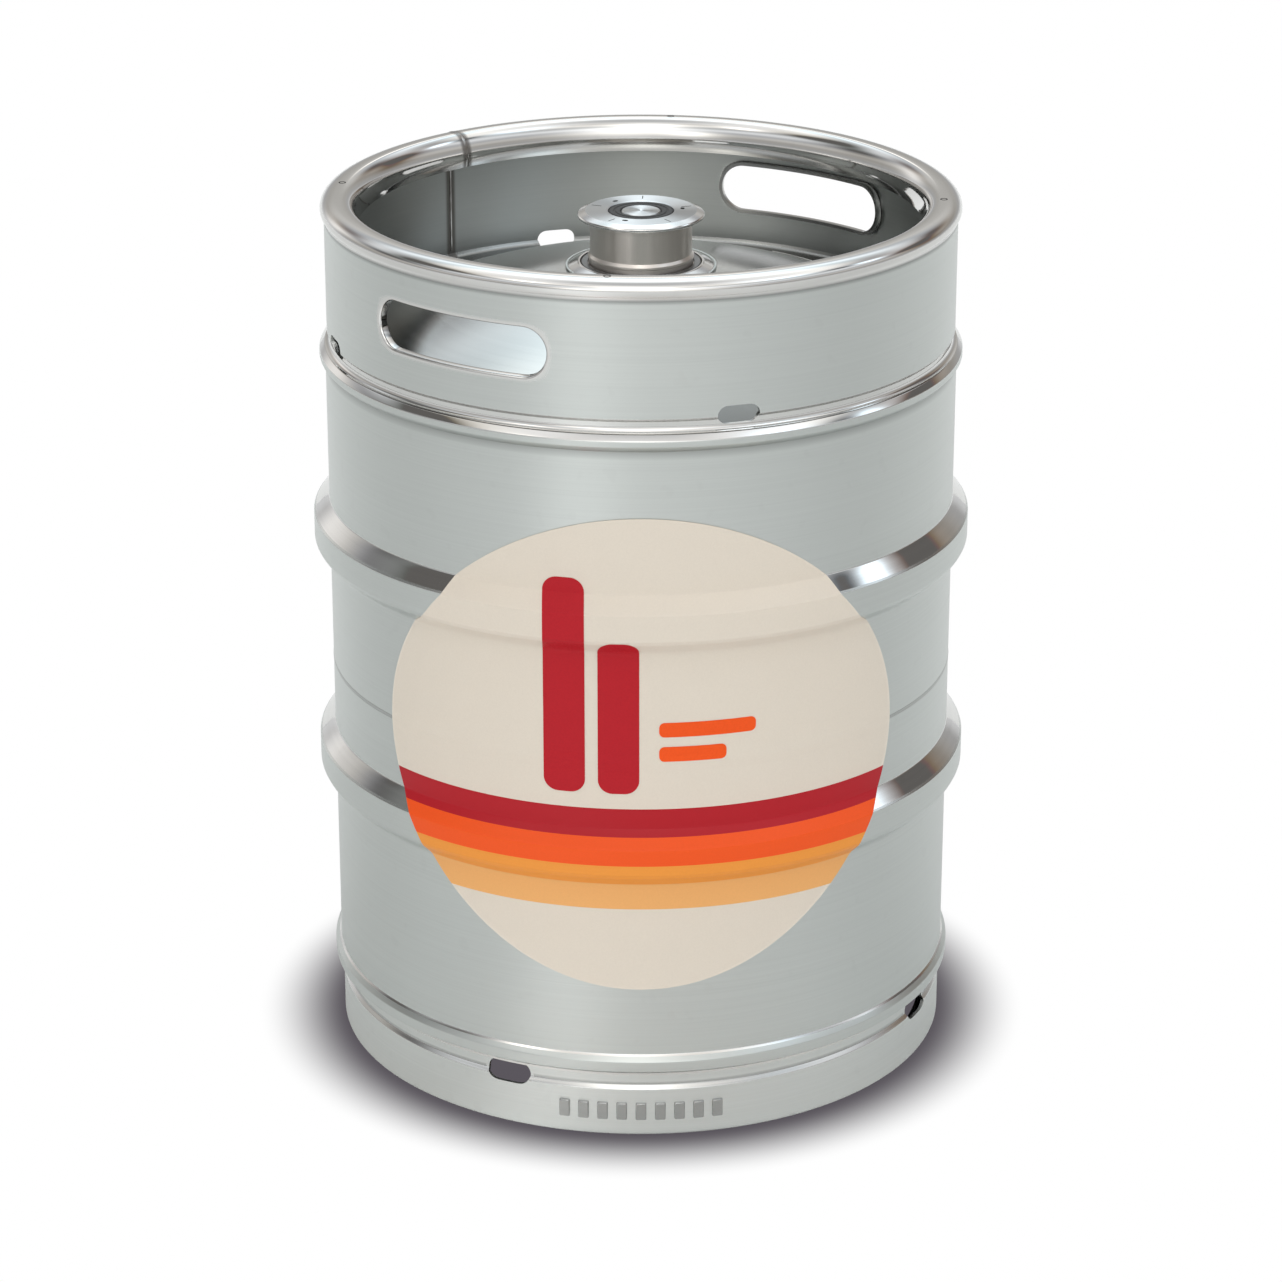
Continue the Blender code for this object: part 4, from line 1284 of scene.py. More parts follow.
class Finishes:
    """Every finish of the keg, made once."""

    def __init__(self) -> None:
        """Make the materials."""
        # The shell, the chime and the foot take a darker colour where painted shade lies.
        self.shell = Steel("satin_shell_steel", turned_glint=0.6, painted_shade_tone=0.30).build()
        self.chime = Steel("satin_chime_steel", turned_glint=0.6, painted_shade_tone=0.35,
                           seam_azimuth=SEAM_AZIMUTH).build()
        self.foot = Steel("satin_foot_steel", painted_shade_tone=0.35, satin_colour=(0.72, 0.74, 0.725),
                          turned_glint=0.6).build()
        self.stamped = Steel("stamped_pad_steel", satin_colour=(0.42, 0.425, 0.42),
                             satin=0.24).build()
        self.bright = Steel("polished_fitting_steel", always_bright=True, bright=0.08,
                            stretch=(60.0, 60.0, 60.0), depth=0.00001, grain_tone=0.02).build()
        # Painted highlight: light and dark glint wedges on the turned disc.
        self.turned = Steel("turned_disc_steel", always_bright=True, bright=0.27,
                            bright_colour=(0.66, 0.685, 0.70), turned_glint=0.85, glint_wedges=0.36,
                            stretch=(4000.0, 0.0, 0.0), concentric=True,
                            depth=0.000012).build()
        self.ground = Steel("ground_weld_steel", satin_colour=(0.47, 0.48, 0.47), satin=0.30,
                            stretch=(120.0, 120.0, 400.0)).build()
        self.upright = Steel("upright_brushed_steel", satin_colour=(0.80, 0.745, 0.695),
                             satin=0.30, turned_glint=0.5, stretch=(2200.0, 2200.0, 20.0)).build()
        self.weld = Steel("weld_bead_steel", satin_colour=(0.20, 0.19, 0.18), satin=0.38,
                          stretch=(200.0, 200.0, 200.0), tint=(0.11, 0.09, 0.075)).build()
        # Also laid, as painted shade, on the fillet under the spear flange.
        self.spring = Steel("spring_steel_and_flange_shade", always_bright=True,
                            bright_colour=(0.17, 0.175, 0.18), bright=0.26,
                            stretch=(300.0, 300.0, 300.0)).build()
        self.rubber = Plain("seal_rubber", (0.018, 0.018, 0.019), (0.040, 0.040, 0.041), 0.52,
                            700.0, 0.00006).build()
        self.plastic = Plain("natural_plastic", (0.78, 0.78, 0.75), (0.70, 0.70, 0.66), 0.42,
                             400.0, 0.00003, 0.1).build()
        self.film = PrintedFilm("cream_label_film", (1.0, 0.91, 0.795), (
            Band(0.2139, (0.500, 0.010, 0.020)), Band(0.1975, (1.000, 0.105, 0.012)),
            Band(0.1817, (0.960, 0.350, 0.055)), Band(0.1665, (0.950, 0.485, 0.170)),
        ), 0.1500).build()
        self.paper = Plain("ticket_paper", (0.80, 0.80, 0.78), (0.72, 0.72, 0.69), 0.7, 1500.0,
                           0.00004).build()
        self.red = Plain("print_red", (0.530, 0.012, 0.022), (0.50, 0.012, 0.022), 0.50, 900.0,
                         0.00001, 0.0, 0.2).build()
        self.orange = Plain("print_orange", (1.000, 0.105, 0.012), (0.96, 0.10, 0.012), 0.50,
                            900.0, 0.00001, 0.0, 0.2).build()
        # Black for print on the ticket and for painted shade in engravings and drilled holes.
        self.shade_and_ink = Plain("shadow_and_print_ink", (0.010, 0.010, 0.011), (0.02, 0.02, 0.02), 0.8,
                            900.0, 0.00001, 0.0, 0.05).build()


def finish_piece(obj: Object, material: Material, slot: Slot, body: Body,
                 *nodes: str) -> Object:
    """Dress a piece, put it on its body and hide the nodes it stands for.

    Args:
        obj: The piece.
        material: Its finish.
        slot: Not used.
        body: The body it rides on.
        nodes: The nodes it stands for.

    Returns:
        The same piece.
    """
    obj.data.materials.clear()
    obj.data.materials.append(material)
    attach(obj, body.value)
    if nodes:
        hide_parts(*nodes)
    LOG.info("%s: %d faces on %s", obj.name, len(obj.data.polygons), body.value)
    return obj


# ----------------------------------------
# The keg's pieces
# ----------------------------------------


@dataclass(frozen=True)
class Shells:
    """The two drawn halves, with their hoops, beads and dished ends."""

    gauge: float = 0.0018
    proud: float = 0.0095
    radius: float = round(reach_of("upper_shell") - 0.0095, 4)
    bead: float = 0.0035
    seam_z: float = round(0.5 * (low_z("girth_weld") + high_z("girth_weld")), 4)
    seam_half: float = 0.0011
    upper_hoop_z: float = 0.3115
    lower_hoop_z: float = 0.1659
    shoulder_z: float = round(low_z("top_chime") - 0.0003, 4)
    foot_z: float = round(high_z("foot_chime") + 0.0003, 4)
    knuckle: float = 0.1840
    boss_hole: float = 0.0400
    dome_rise: float = 0.0434
    dome_drop: float = 0.0310
    dome_flat: float = 0.0200
    dome_steps: int = 36
    end_steps: int = 24
    columns: int = 288

    def hoop(self, base_z: float) -> list[Corner]:
        """Return one rolling hoop from its underside to its polished upper flank."""
        crest = self.radius + self.proud
        return [
            Corner(self.radius, base_z, 0.0060),
            Corner(crest - 0.0012, base_z + 0.0074, 0.0022),
            Corner(crest, base_z + 0.0098, 0.0022),
            Corner(crest, base_z + 0.0256, 0.0008, 0.35),
            Corner(crest - 0.0012, base_z + 0.0268, 0.0010, 1.0),
            Corner(self.radius, base_z + 0.0353, 0.0014),
        ]

    def upper_profile(self) -> Profile:
        """Return the upper half's outer line, from the seam up to the neck."""
        corners = [Corner(self.radius, self.seam_z + self.seam_half)]
        corners += self.hoop(self.upper_hoop_z)
        crest = self.radius + self.bead
        corners += [
            Corner(self.radius, self.shoulder_z - 0.0102, 0.0014),
            Corner(crest, self.shoulder_z - 0.0065, 0.0016),
            Corner(crest, self.shoulder_z - 0.0030, 0.0014, 1.0),
            Corner(self.radius + 0.0002, self.shoulder_z + 0.0001, 0.0012, 1.0),
            Corner(self.knuckle, self.shoulder_z, 0.0, 0.45),
        ]
        for part in range(1, self.dome_steps + 1):
            radius = self.knuckle + (self.boss_hole - self.knuckle) * part / self.dome_steps
            corners.append(Corner(radius, self.dome_z(radius), 0.0, 0.45))
        return Profile(corners, step=0.0045)

    def dome_z(self, radius: float) -> float:
        """Return the top dome's height at a radius."""
        share = (self.knuckle ** 2 - radius ** 2) / (self.knuckle ** 2 - self.boss_hole ** 2)
        return self.shoulder_z + self.dome_rise * share

    def lower_profile(self) -> Profile:
        """Return the lower half's outer line, from the middle of its end up to the seam."""
        corners = [Corner(0.0, self.foot_z - self.dome_drop)]
        for part in range(self.end_steps + 1):
            radius = self.dome_flat + (self.knuckle - self.dome_flat) * part / self.end_steps
            share = (self.knuckle ** 2 - radius ** 2) / (self.knuckle ** 2 - self.dome_flat ** 2)
            corners.append(Corner(radius, self.foot_z - self.dome_drop * share))
        crest = self.radius + self.bead
        corners += [
            Corner(self.radius, self.foot_z, 0.0008),
            Corner(crest, self.foot_z + 0.0015, 0.0014),
            Corner(crest, self.foot_z + 0.0081, 0.0014),
            Corner(self.radius + 0.0011, self.foot_z + 0.0107, 0.0002, 1.0),
            Corner(self.radius, self.foot_z + 0.0118, 0.0006),
        ]
        corners += self.hoop(self.lower_hoop_z)
        corners.append(Corner(self.radius, self.seam_z - self.seam_half))
        return Profile(corners, step=0.0045)

    def build(self, looks: Finishes) -> None:
        """Make both halves and the girth weld."""
        # Painted shade: the dome and shelf inside the top ring darken, and a dark painted line runs
        # under the shoulder bead.
        upper = TurnedSheet(self.upper_profile(), self.columns, self.gauge,
                            painted_shade_within=(0.1675, 0.1867, self.shoulder_z - 0.0003),
                            painted_shade_line=(self.shoulder_z - 0.0112, self.shoulder_z - 0.0097, 0.45)
                            ).build("shell_upper")
        finish_piece(upper, looks.shell, Slot.SHELL, Body.KEG, "upper_shell")
        lower = TurnedSheet(self.lower_profile(), self.columns, self.gauge).build("shell_lower")
        finish_piece(lower, looks.shell, Slot.SHELL, Body.KEG, "lower_shell")
        low, high = low_z("girth_weld"), high_z("girth_weld")
        ring = TurnedSolid(Profile([
            Corner(self.radius - self.gauge, low), Corner(self.radius, low),
            Corner(self.radius + 0.0002, self.seam_z, 0.001),
            Corner(self.radius, high), Corner(self.radius - self.gauge, high),
        ], closed=True), self.columns).build("girth_root")
        finish_piece(ring, looks.ground, Slot.WELD, Body.KEG, "girth_weld")
        ripples = RingOf(Repeat.RIPPLE).build(
            "girth_bead", 720, self.radius - 0.0001, self.seam_z, (0.0013, 0.00025, 0.0009),
            looks.shell, jitter=0.35)
        finish_piece(ripples, looks.shell, Slot.WELD, Body.KEG)

    def face_at(self, heights: np.ndarray) -> np.ndarray:
        """Find how far out the body's steel is between the two beads.

        Args:
            heights: The heights.

        Returns:
            The radius at each height.
        """
        low, high = self.lower_profile(), self.upper_profile()
        keep_low = low.heights > self.foot_z + 0.0130
        keep_high = high.heights < self.shoulder_z - 0.0126
        z = np.concatenate([low.heights[keep_low], high.heights[keep_high]])
        r = np.concatenate([low.radii[keep_low], high.radii[keep_high]])
        order = np.argsort(z)
        return np.interp(heights, z[order], r[order])


@dataclass(frozen=True)
class TopChime:
    """The top ring with its rolled rim, hand holes, drain holes and upright seam."""

    radius: float = reach_of("foot_chime")
    skirt: float = 0.1867
    gauge: float = 0.0020
    base_z: float = low_z("top_chime")
    crest_z: float = high_z("top_chime")
    rim_centre: float = 0.17975
    rim_half_flat: float = 0.0020
    rim_reach: float = 0.00925
    rim_rise: float = 0.0065
    rim_drop: float = 0.0145
    rim_steps: int = 12
    fillet_steps: int = 7
    seam_half: float = 0.0013
    seam_cells: int = 6
    seam_rise: float = 0.00022
    vent_sides: int = 20
    handle_z: float = 0.4870
    handle_length: float = 0.1195
    handle_height: float = 0.0290
    handle_azimuths: tuple[float, ...] = (math.radians(-34.5), math.radians(145.5))
    drain_z: float = 0.4514
    cove: float = 0.0034
    drain_azimuths: tuple[float, ...] = tuple(math.radians(17.0 + 90.0 * n) for n in range(4))
    vent_azimuths: tuple[float, ...] = tuple(math.radians(-6.0 + 90.0 * n) for n in range(4))
    columns: int = 432

    def profile(self) -> Profile:
        """Return the ring's outer line, from the weld skirt up, over the rim and down inside."""
        corners = [
            Corner(self.skirt, self.base_z, 0.0, 0.8),
            Corner(self.skirt, self.base_z + 0.0062, 0.0012, 0.5),
            Corner(self.radius, self.base_z + 0.0083, 0.0012),
            Corner(self.radius, self.crest_z - 0.0120, 0.0020, 0.8),
        ]
        corners += self._roll(self.rim_centre + self.rim_half_flat, self.rim_rise, -38.0, 90.0)
        corners += self._roll(self.rim_centre - self.rim_half_flat, self.rim_drop, 90.0, 202.0)
        return Profile(corners, step=0.0021)

    def _roll(self, centre: float, rise: float, first: float, last: float) -> list[Corner]:
        """Make one side of the rolled rim.

        Args:
            centre: The radius of its middle.
            rise: How far its middle lies under the crest.
            first: The angle from level where it starts, in degrees.
            last: The angle where it ends.

        Returns:
            Its corners.
        """
        corners = []
        for part in range(self.rim_steps + 1):
            angle = math.radians(first + (last - first) * part / self.rim_steps)
            corners.append(Corner(centre + self.rim_reach * math.cos(angle),
                                  self.crest_z - rise + rise * math.sin(angle), 0.0, 1.0))
        return corners

    def build(self, looks: Finishes) -> None:
        """Make the ring, its weld and its seam."""
        profile = self.profile()
        handle_along = profile.along_at_height(self.handle_z)
        drain_along = profile.along_at_height(self.drain_z)
        openings = [Opening(azimuth, handle_along, self.handle_length, self.handle_height, 0.0016,
                            0.0036, 0.006, 4) for azimuth in self.handle_azimuths]
        openings += [Opening(azimuth, drain_along, 0.0250, 0.0120, margin=0.0012, rings=3)
                     for azimuth in self.drain_azimuths]
        # Painted shade: the inner face darkens, and a dark painted line runs under the rolled rim.
        ring = TurnedSheet(profile, self.columns, self.gauge, openings, 0.45,
                           painted_shade_line=(self.crest_z - 0.0130, self.crest_z - 0.0106, 0.7)
                           ).build("chime_top")
        finish_piece(ring, looks.chime, Slot.CHIME, Body.KEG, "top_chime")
        weld = self.ground_weld("chime_top_fillet", self.base_z, 1.0)
        finish_piece(weld, looks.shell, Slot.WELD, Body.KEG, "top_chime_weld")
        self._seam(looks)
        self._vents(looks)

    def ground_weld(self, name: str, root_z: float, side: float) -> Object:
        """Make the smooth fillet where a ring's skirt stands on the shell.

        Args:
            name: The piece's name.
            root_z: The height of the fillet's root.
            side: 1 if the skirt goes up from the root and -1 if it goes down.

        Returns:
            The linked object.
        """
        toe = self.skirt + 0.0001
        corners = [Corner(toe - 0.0002, root_z - side * 0.0002, 0.0, 1.0)]
        for part in range(self.fillet_steps + 1):
            angle = 0.5 * math.pi * part / self.fillet_steps
            corners.append(Corner(toe + self.cove * (1.0 - math.sin(angle)),
                                  root_z + side * self.cove * (1.0 - math.cos(angle)), 0.0,
                                  1.0))
        return TurnedSolid(Profile(corners, closed=True), self.columns).build(name)

    def _seam(self, looks: Finishes) -> None:
        """Make the upright weld inside the wall and over the rim."""
        line = self.profile()
        draft = MeshDraft()
        rows = []
        lowest = self.base_z + 0.0091
        keep = [index for index in range(len(line.radii)) if line.heights[index] > lowest]
        for index in keep:
            before, after = max(index - 1, 0), min(index + 1, len(line.radii) - 1)
            slope = np.array((line.heights[after] - line.heights[before],
                              line.radii[before] - line.radii[after]))
            slope /= np.linalg.norm(slope)
            row = []
            for part in range(self.seam_cells + 1):
                across = 2.0 * part / self.seam_cells - 1.0
                lift = self.seam_rise * (1.0 - across ** 2) - 0.00002
                azimuth = SEAM_AZIMUTH + across * self.seam_half / self.radius
                row.append(draft.add(polar(line.radii[index] + slope[0] * lift, azimuth,
                                           line.heights[index] + slope[1] * lift), 0.6))
            rows.append(row)
        for low, high in zip(rows, rows[1:]):
            for part in range(self.seam_cells):
                draft.faces.append((low[part], low[part + 1], high[part + 1], high[part]))
        draft.thicken(self.gauge + 0.0002)
        finish_piece(draft.to_object("chime_seam"), looks.weld, Slot.WELD, Body.KEG)

    def _vents(self, looks: Finishes) -> None:
        """Make the four small drilled marks on the rim's crest, black discs of painted shade."""
        draft = MeshDraft()
        for azimuth in self.vent_azimuths:
            middle = polar(0.1800, azimuth, self.crest_z)
            rings = []
            for radius, height in ((0.0022, -0.0004), (0.0022, 0.00008), (0.0017, 0.00010),
                                   (0.0015, -0.0002)):
                rings.append([draft.add((middle[0] + radius * math.cos(turn),
                                         middle[1] + radius * math.sin(turn),
                                         middle[2] + height))
                              for turn in (FULL_TURN * n / self.vent_sides
                                           for n in range(self.vent_sides))])
            for low, high in zip(rings, rings[1:]):
                for n in range(self.vent_sides):
                    after = (n + 1) % self.vent_sides
                    draft.faces.append((low[n], low[after], high[after], high[n]))
            draft.faces.append(tuple(rings[-1]))
            draft.faces.append(tuple(reversed(rings[0])))
        finish_piece(draft.to_object("rim_vents"), looks.shade_and_ink, Slot.CHIME, Body.KEG)


@dataclass(frozen=True)
class FootChime:
    """The foot ring with its drain holes and plain stamped pads."""

    radius: float = reach_of("foot_chime")
    skirt: float = 0.1867
    gauge: float = 0.0020
    top_z: float = high_z("foot_chime")
    leg_radius: float = 0.1766
    leg_top: float = 0.0140
    bend: float = 0.0031
    drain_z: float = 0.0336
    drain_azimuths: tuple[float, ...] = tuple(math.radians(-25.0 + 90.0 * n) for n in range(4))
    columns: int = 360

    def profile(self) -> Profile:
        """Return the ring's line from the inner leg round the foot and up to the weld skirt."""
        return Profile([
            Corner(self.leg_radius, self.leg_top),
            Corner(self.leg_radius, 0.0, self.bend),
            Corner(self.radius, 0.0, self.bend),
            Corner(self.radius, self.top_z - 0.0121, 0.0012, 0.8),
            Corner(self.skirt, self.top_z - 0.0097, 0.0012),
            Corner(self.skirt, self.top_z),
        ], step=0.0018)

    def build(self, looks: Finishes) -> None:
        """Make the ring, its weld and the pads."""
        profile = self.profile()
        along = profile.along_at_height(self.drain_z, 0.02)
        openings = [Opening(azimuth, along, 0.0280, 0.0145, margin=0.0010, rings=3)
                    for azimuth in self.drain_azimuths]
        # Painted shade: a dark painted line runs at the top of the joggle under the weld skirt.
        ring = TurnedSheet(profile, self.columns, self.gauge, openings,
                           painted_shade_line=(self.top_z - 0.0100, self.top_z - 0.0089, 0.5)
                           ).build("chime_foot")
        finish_piece(ring, looks.foot, Slot.CHIME, Body.KEG, "foot_chime")
        weld = TopChime().ground_weld("chime_foot_fillet", self.top_z, -1.0)
        finish_piece(weld, looks.shell, Slot.WELD, Body.KEG, "foot_chime_weld")
        pads = RingOf(Repeat.BLOCK).build(
            "stamped_pads", 9, self.radius, 0.0165, (0.0064, 0.0030, 0.0112), looks.stamped,
            first=math.radians(-14.0), step=math.radians(3.5))
        soften = pads.modifiers.new("soften", "BEVEL")
        soften.width = 0.0008
        soften.segments = 3
        finish_piece(pads, looks.stamped, Slot.CHIME, Body.KEG)


@dataclass(frozen=True)
class Fitting:
    """The neck boss and the spear body with its ring."""

    columns: int = 160
    flange_top: float = high_z("spear_body")
    body_bottom: float = low_z("spear_body")
    flange_radius: float = reach_of("spear_body")
    neck_radius: float = 0.0305
    collar_radius: float = reach_of("retaining_ring")
    thread_radius: float = 0.0309
    boss_top: float = high_z("neck_boss")
    boss_bottom: float = low_z("neck_boss")
    turned_reach: float = 0.0334

    def build(self, looks: Finishes) -> None:
        """Make the boss, its weld, the body, its marks and the ring."""
        boss = TurnedSolid(Profile([
            Corner(0.0365, self.boss_top, 0.0004), Corner(0.0376, self.boss_top, 0.0004),
            Corner(0.0380, 0.4889, 0.0003), Corner(0.0436, 0.4867, 0.0003),
            Corner(0.0438, 0.4863), Corner(0.0397, 0.4863),
            Corner(0.0397, self.boss_bottom, 0.0005), Corner(0.0312, self.boss_bottom),
            Corner(0.0312, 0.4822),
            Corner(0.0365, 0.4822),
        ], closed=True), self.columns).build("boss_ring")
        finish_piece(boss, looks.bright, Slot.BRIGHT, Body.KEG, "neck_boss")
        weld = RingOf(Repeat.RIPPLE).build("boss_bead", 150, 0.0446, 0.4867,
                                           (0.0013, 0.0009, 0.0006), looks.shell, jitter=0.3)
        finish_piece(weld, looks.shell, Slot.WELD, Body.KEG, "boss_weld")
        body = TurnedSolid(Profile([
            Corner(0.0197, self.flange_top - 0.0003, 0.0003),
            Corner(0.0206, self.flange_top, 0.0003), Corner(0.0335, self.flange_top, 0.0008),
            Corner(0.0374, self.flange_top - 0.0015, 0.0010),
            Corner(self.flange_radius, self.flange_top - 0.0022, 0.0005),
            Corner(self.flange_radius, self.flange_top - 0.0034, 0.0008),
            Corner(0.0366, self.flange_top - 0.0040, 0.0004),
            Corner(0.0325, self.flange_top - 0.0040, 0.0006),
            Corner(self.neck_radius, self.flange_top - 0.0056, 0.0010),
            Corner(self.neck_radius, 0.4950, 0.0006), Corner(0.0318, 0.4933, 0.0008),
            Corner(0.0318, 0.4918, 0.0005), Corner(0.0312, 0.4914), Corner(0.0312, 0.4875),
            Corner(self.collar_radius, 0.4875, 0.0003), Corner(self.collar_radius, 0.4851),
            Corner(self.thread_radius, 0.4851), Corner(self.thread_radius, self.body_bottom),
            Corner(0.0240, self.body_bottom), Corner(0.0240, 0.5138),
            Corner(0.0197, 0.5173),
        ], step=0.002, closed=True), self.columns).build("spear_fitting")
        finish_piece(body, looks.upright, Slot.BRIGHT, Body.KEG, "spear_body")
        self._dress_body(body, looks)
        low, high = low_z("retaining_ring"), high_z("retaining_ring")
        ring = TurnedSolid(Profile([
            Corner(0.0318, low, 0.0004), Corner(self.collar_radius, low, 0.0004),
            Corner(self.collar_radius, high, 0.0004), Corner(0.0318, high, 0.0004),
        ], closed=True), 120, math.radians(206.0), math.radians(348.0)).build("neck_ring")
        finish_piece(ring, looks.spring, Slot.SPRING, Body.KEG, "retaining_ring")
        self._marks(looks)

    def _dress_body(self, body: Object, looks: Finishes) -> None:
        """Give the flange's top a turned finish, its edge a polished one, and paint shade under it.

        Args:
            body: The fitting's body.
            looks: The finishes.
        """
        body.data.materials.append(looks.turned)
        body.data.materials.append(looks.bright)
        body.data.materials.append(looks.spring)
        under_flange = self.flange_top - 0.0041
        for face in body.data.polygons:
            middle = face.center
            radius = math.hypot(middle.x, middle.y)
            if middle.z > under_flange and radius > 0.0195:
                face.material_index = 1 if radius < self.turned_reach else 2
            elif middle.z > self.flange_top - 0.0056 and radius > 0.0306:
                # Painted shade: the fillet under the flange takes the dark spring steel.
                face.material_index = 3

    def _marks(self, looks: Finishes) -> None:
        """Make the plain engraved ticks and the two flange index dots, black with painted shade."""
        ticks = RingOf(Repeat.BLOCK).build(
            "flange_ticks", 5, 0.0282, self.flange_top, (0.0005, 0.0062, 0.00012), looks.shade_and_ink,
            first=math.radians(-38.0), step=FULL_TURN / 5)
        finish_piece(ticks, looks.shade_and_ink, Slot.BRIGHT, Body.KEG)
        dots = RingOf(Repeat.RIPPLE).build(
            "flange_dots", 3, 0.0250, self.flange_top, (0.0020, 0.0014, 0.00010), looks.shade_and_ink,
            first=math.radians(-22.0), step=FULL_TURN / 3)
        finish_piece(dots, looks.shade_and_ink, Slot.BRIGHT, Body.KEG)


@dataclass(frozen=True)
class Valves:
    """The gas seal, the beer plunger and the springs that push them up."""

    columns: int = 96
    top_z: float = high_z("gas_seal")
    seal_bottom: float = low_z("gas_seal")
    seal_skirt: float = reach_of("gas_seal")
    disc_bottom: float = low_z("beer_plunger")
    main_foot: float = 0.4498
    beer_foot: float = 0.4899

    def build(self, looks: Finishes) -> None:
        """Make the moving pieces."""
        seal = TurnedSolid(Profile([
            Corner(0.0121, self.top_z - 0.0006, 0.0003), Corner(0.0128, self.top_z, 0.0004),
            Corner(0.0150, self.top_z, 0.0003), Corner(0.0154, self.top_z - 0.0004, 0.0003),
            Corner(0.0162, self.top_z - 0.0004, 0.0003), Corner(0.0166, self.top_z, 0.0003),
            Corner(0.0188, self.top_z, 0.0005), Corner(0.0194, self.top_z - 0.0008, 0.0004),
            Corner(0.0194, 0.5167, 0.0005), Corner(self.seal_skirt, 0.5132, 0.0005),
            Corner(self.seal_skirt, self.seal_bottom, 0.0003), Corner(0.0142, self.seal_bottom),
            Corner(0.0142, 0.5143), Corner(0.0121, 0.5143),
        ], step=0.002, closed=True), self.columns).build("seal_ring")
        finish_piece(seal, looks.rubber, Slot.RUBBER, Body.GAS_VALVE, "gas_seal")
        disc = TurnedSolid(Profile([
            Corner(0.0, self.top_z - 0.0006), Corner(0.0009, self.top_z - 0.0004, 0.0002),
            Corner(0.0016, self.top_z, 0.0002), Corner(0.0068, self.top_z, 0.0001),
            Corner(0.0069, self.top_z - 0.00015, 0.0001), Corner(0.0071, self.top_z, 0.0001),
            Corner(0.0112, self.top_z, 0.0004), Corner(0.0118, self.top_z - 0.0006, 0.0004),
            Corner(0.0118, 0.5140), Corner(0.0138, 0.5140, 0.0003), Corner(0.0138, 0.5124, 0.0003),
            Corner(0.0095, 0.5124), Corner(0.0095, self.disc_bottom, 0.0006),
            Corner(0.0, self.disc_bottom),
        ], step=0.002), self.columns).build("valve_disc")
        finish_piece(disc, looks.turned, Slot.BRIGHT, Body.BEER_VALVE, "beer_plunger")
        coils = CoilMaker()
        main = coils.build("coil_main", 7.0, 0.0203, 0.0012, self.main_foot,
                           high_z("main_spring"), looks.spring)
        finish_piece(main, looks.spring, Slot.SPRING, Body.KEG, "main_spring")
        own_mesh(main)
        small = coils.build("coil_beer", 5.0, 0.0116, 0.0006, self.beer_foot,
                            high_z("beer_spring"), looks.spring)
        finish_piece(small, looks.spring, Slot.SPRING, Body.GAS_VALVE, "beer_spring")
        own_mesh(small)


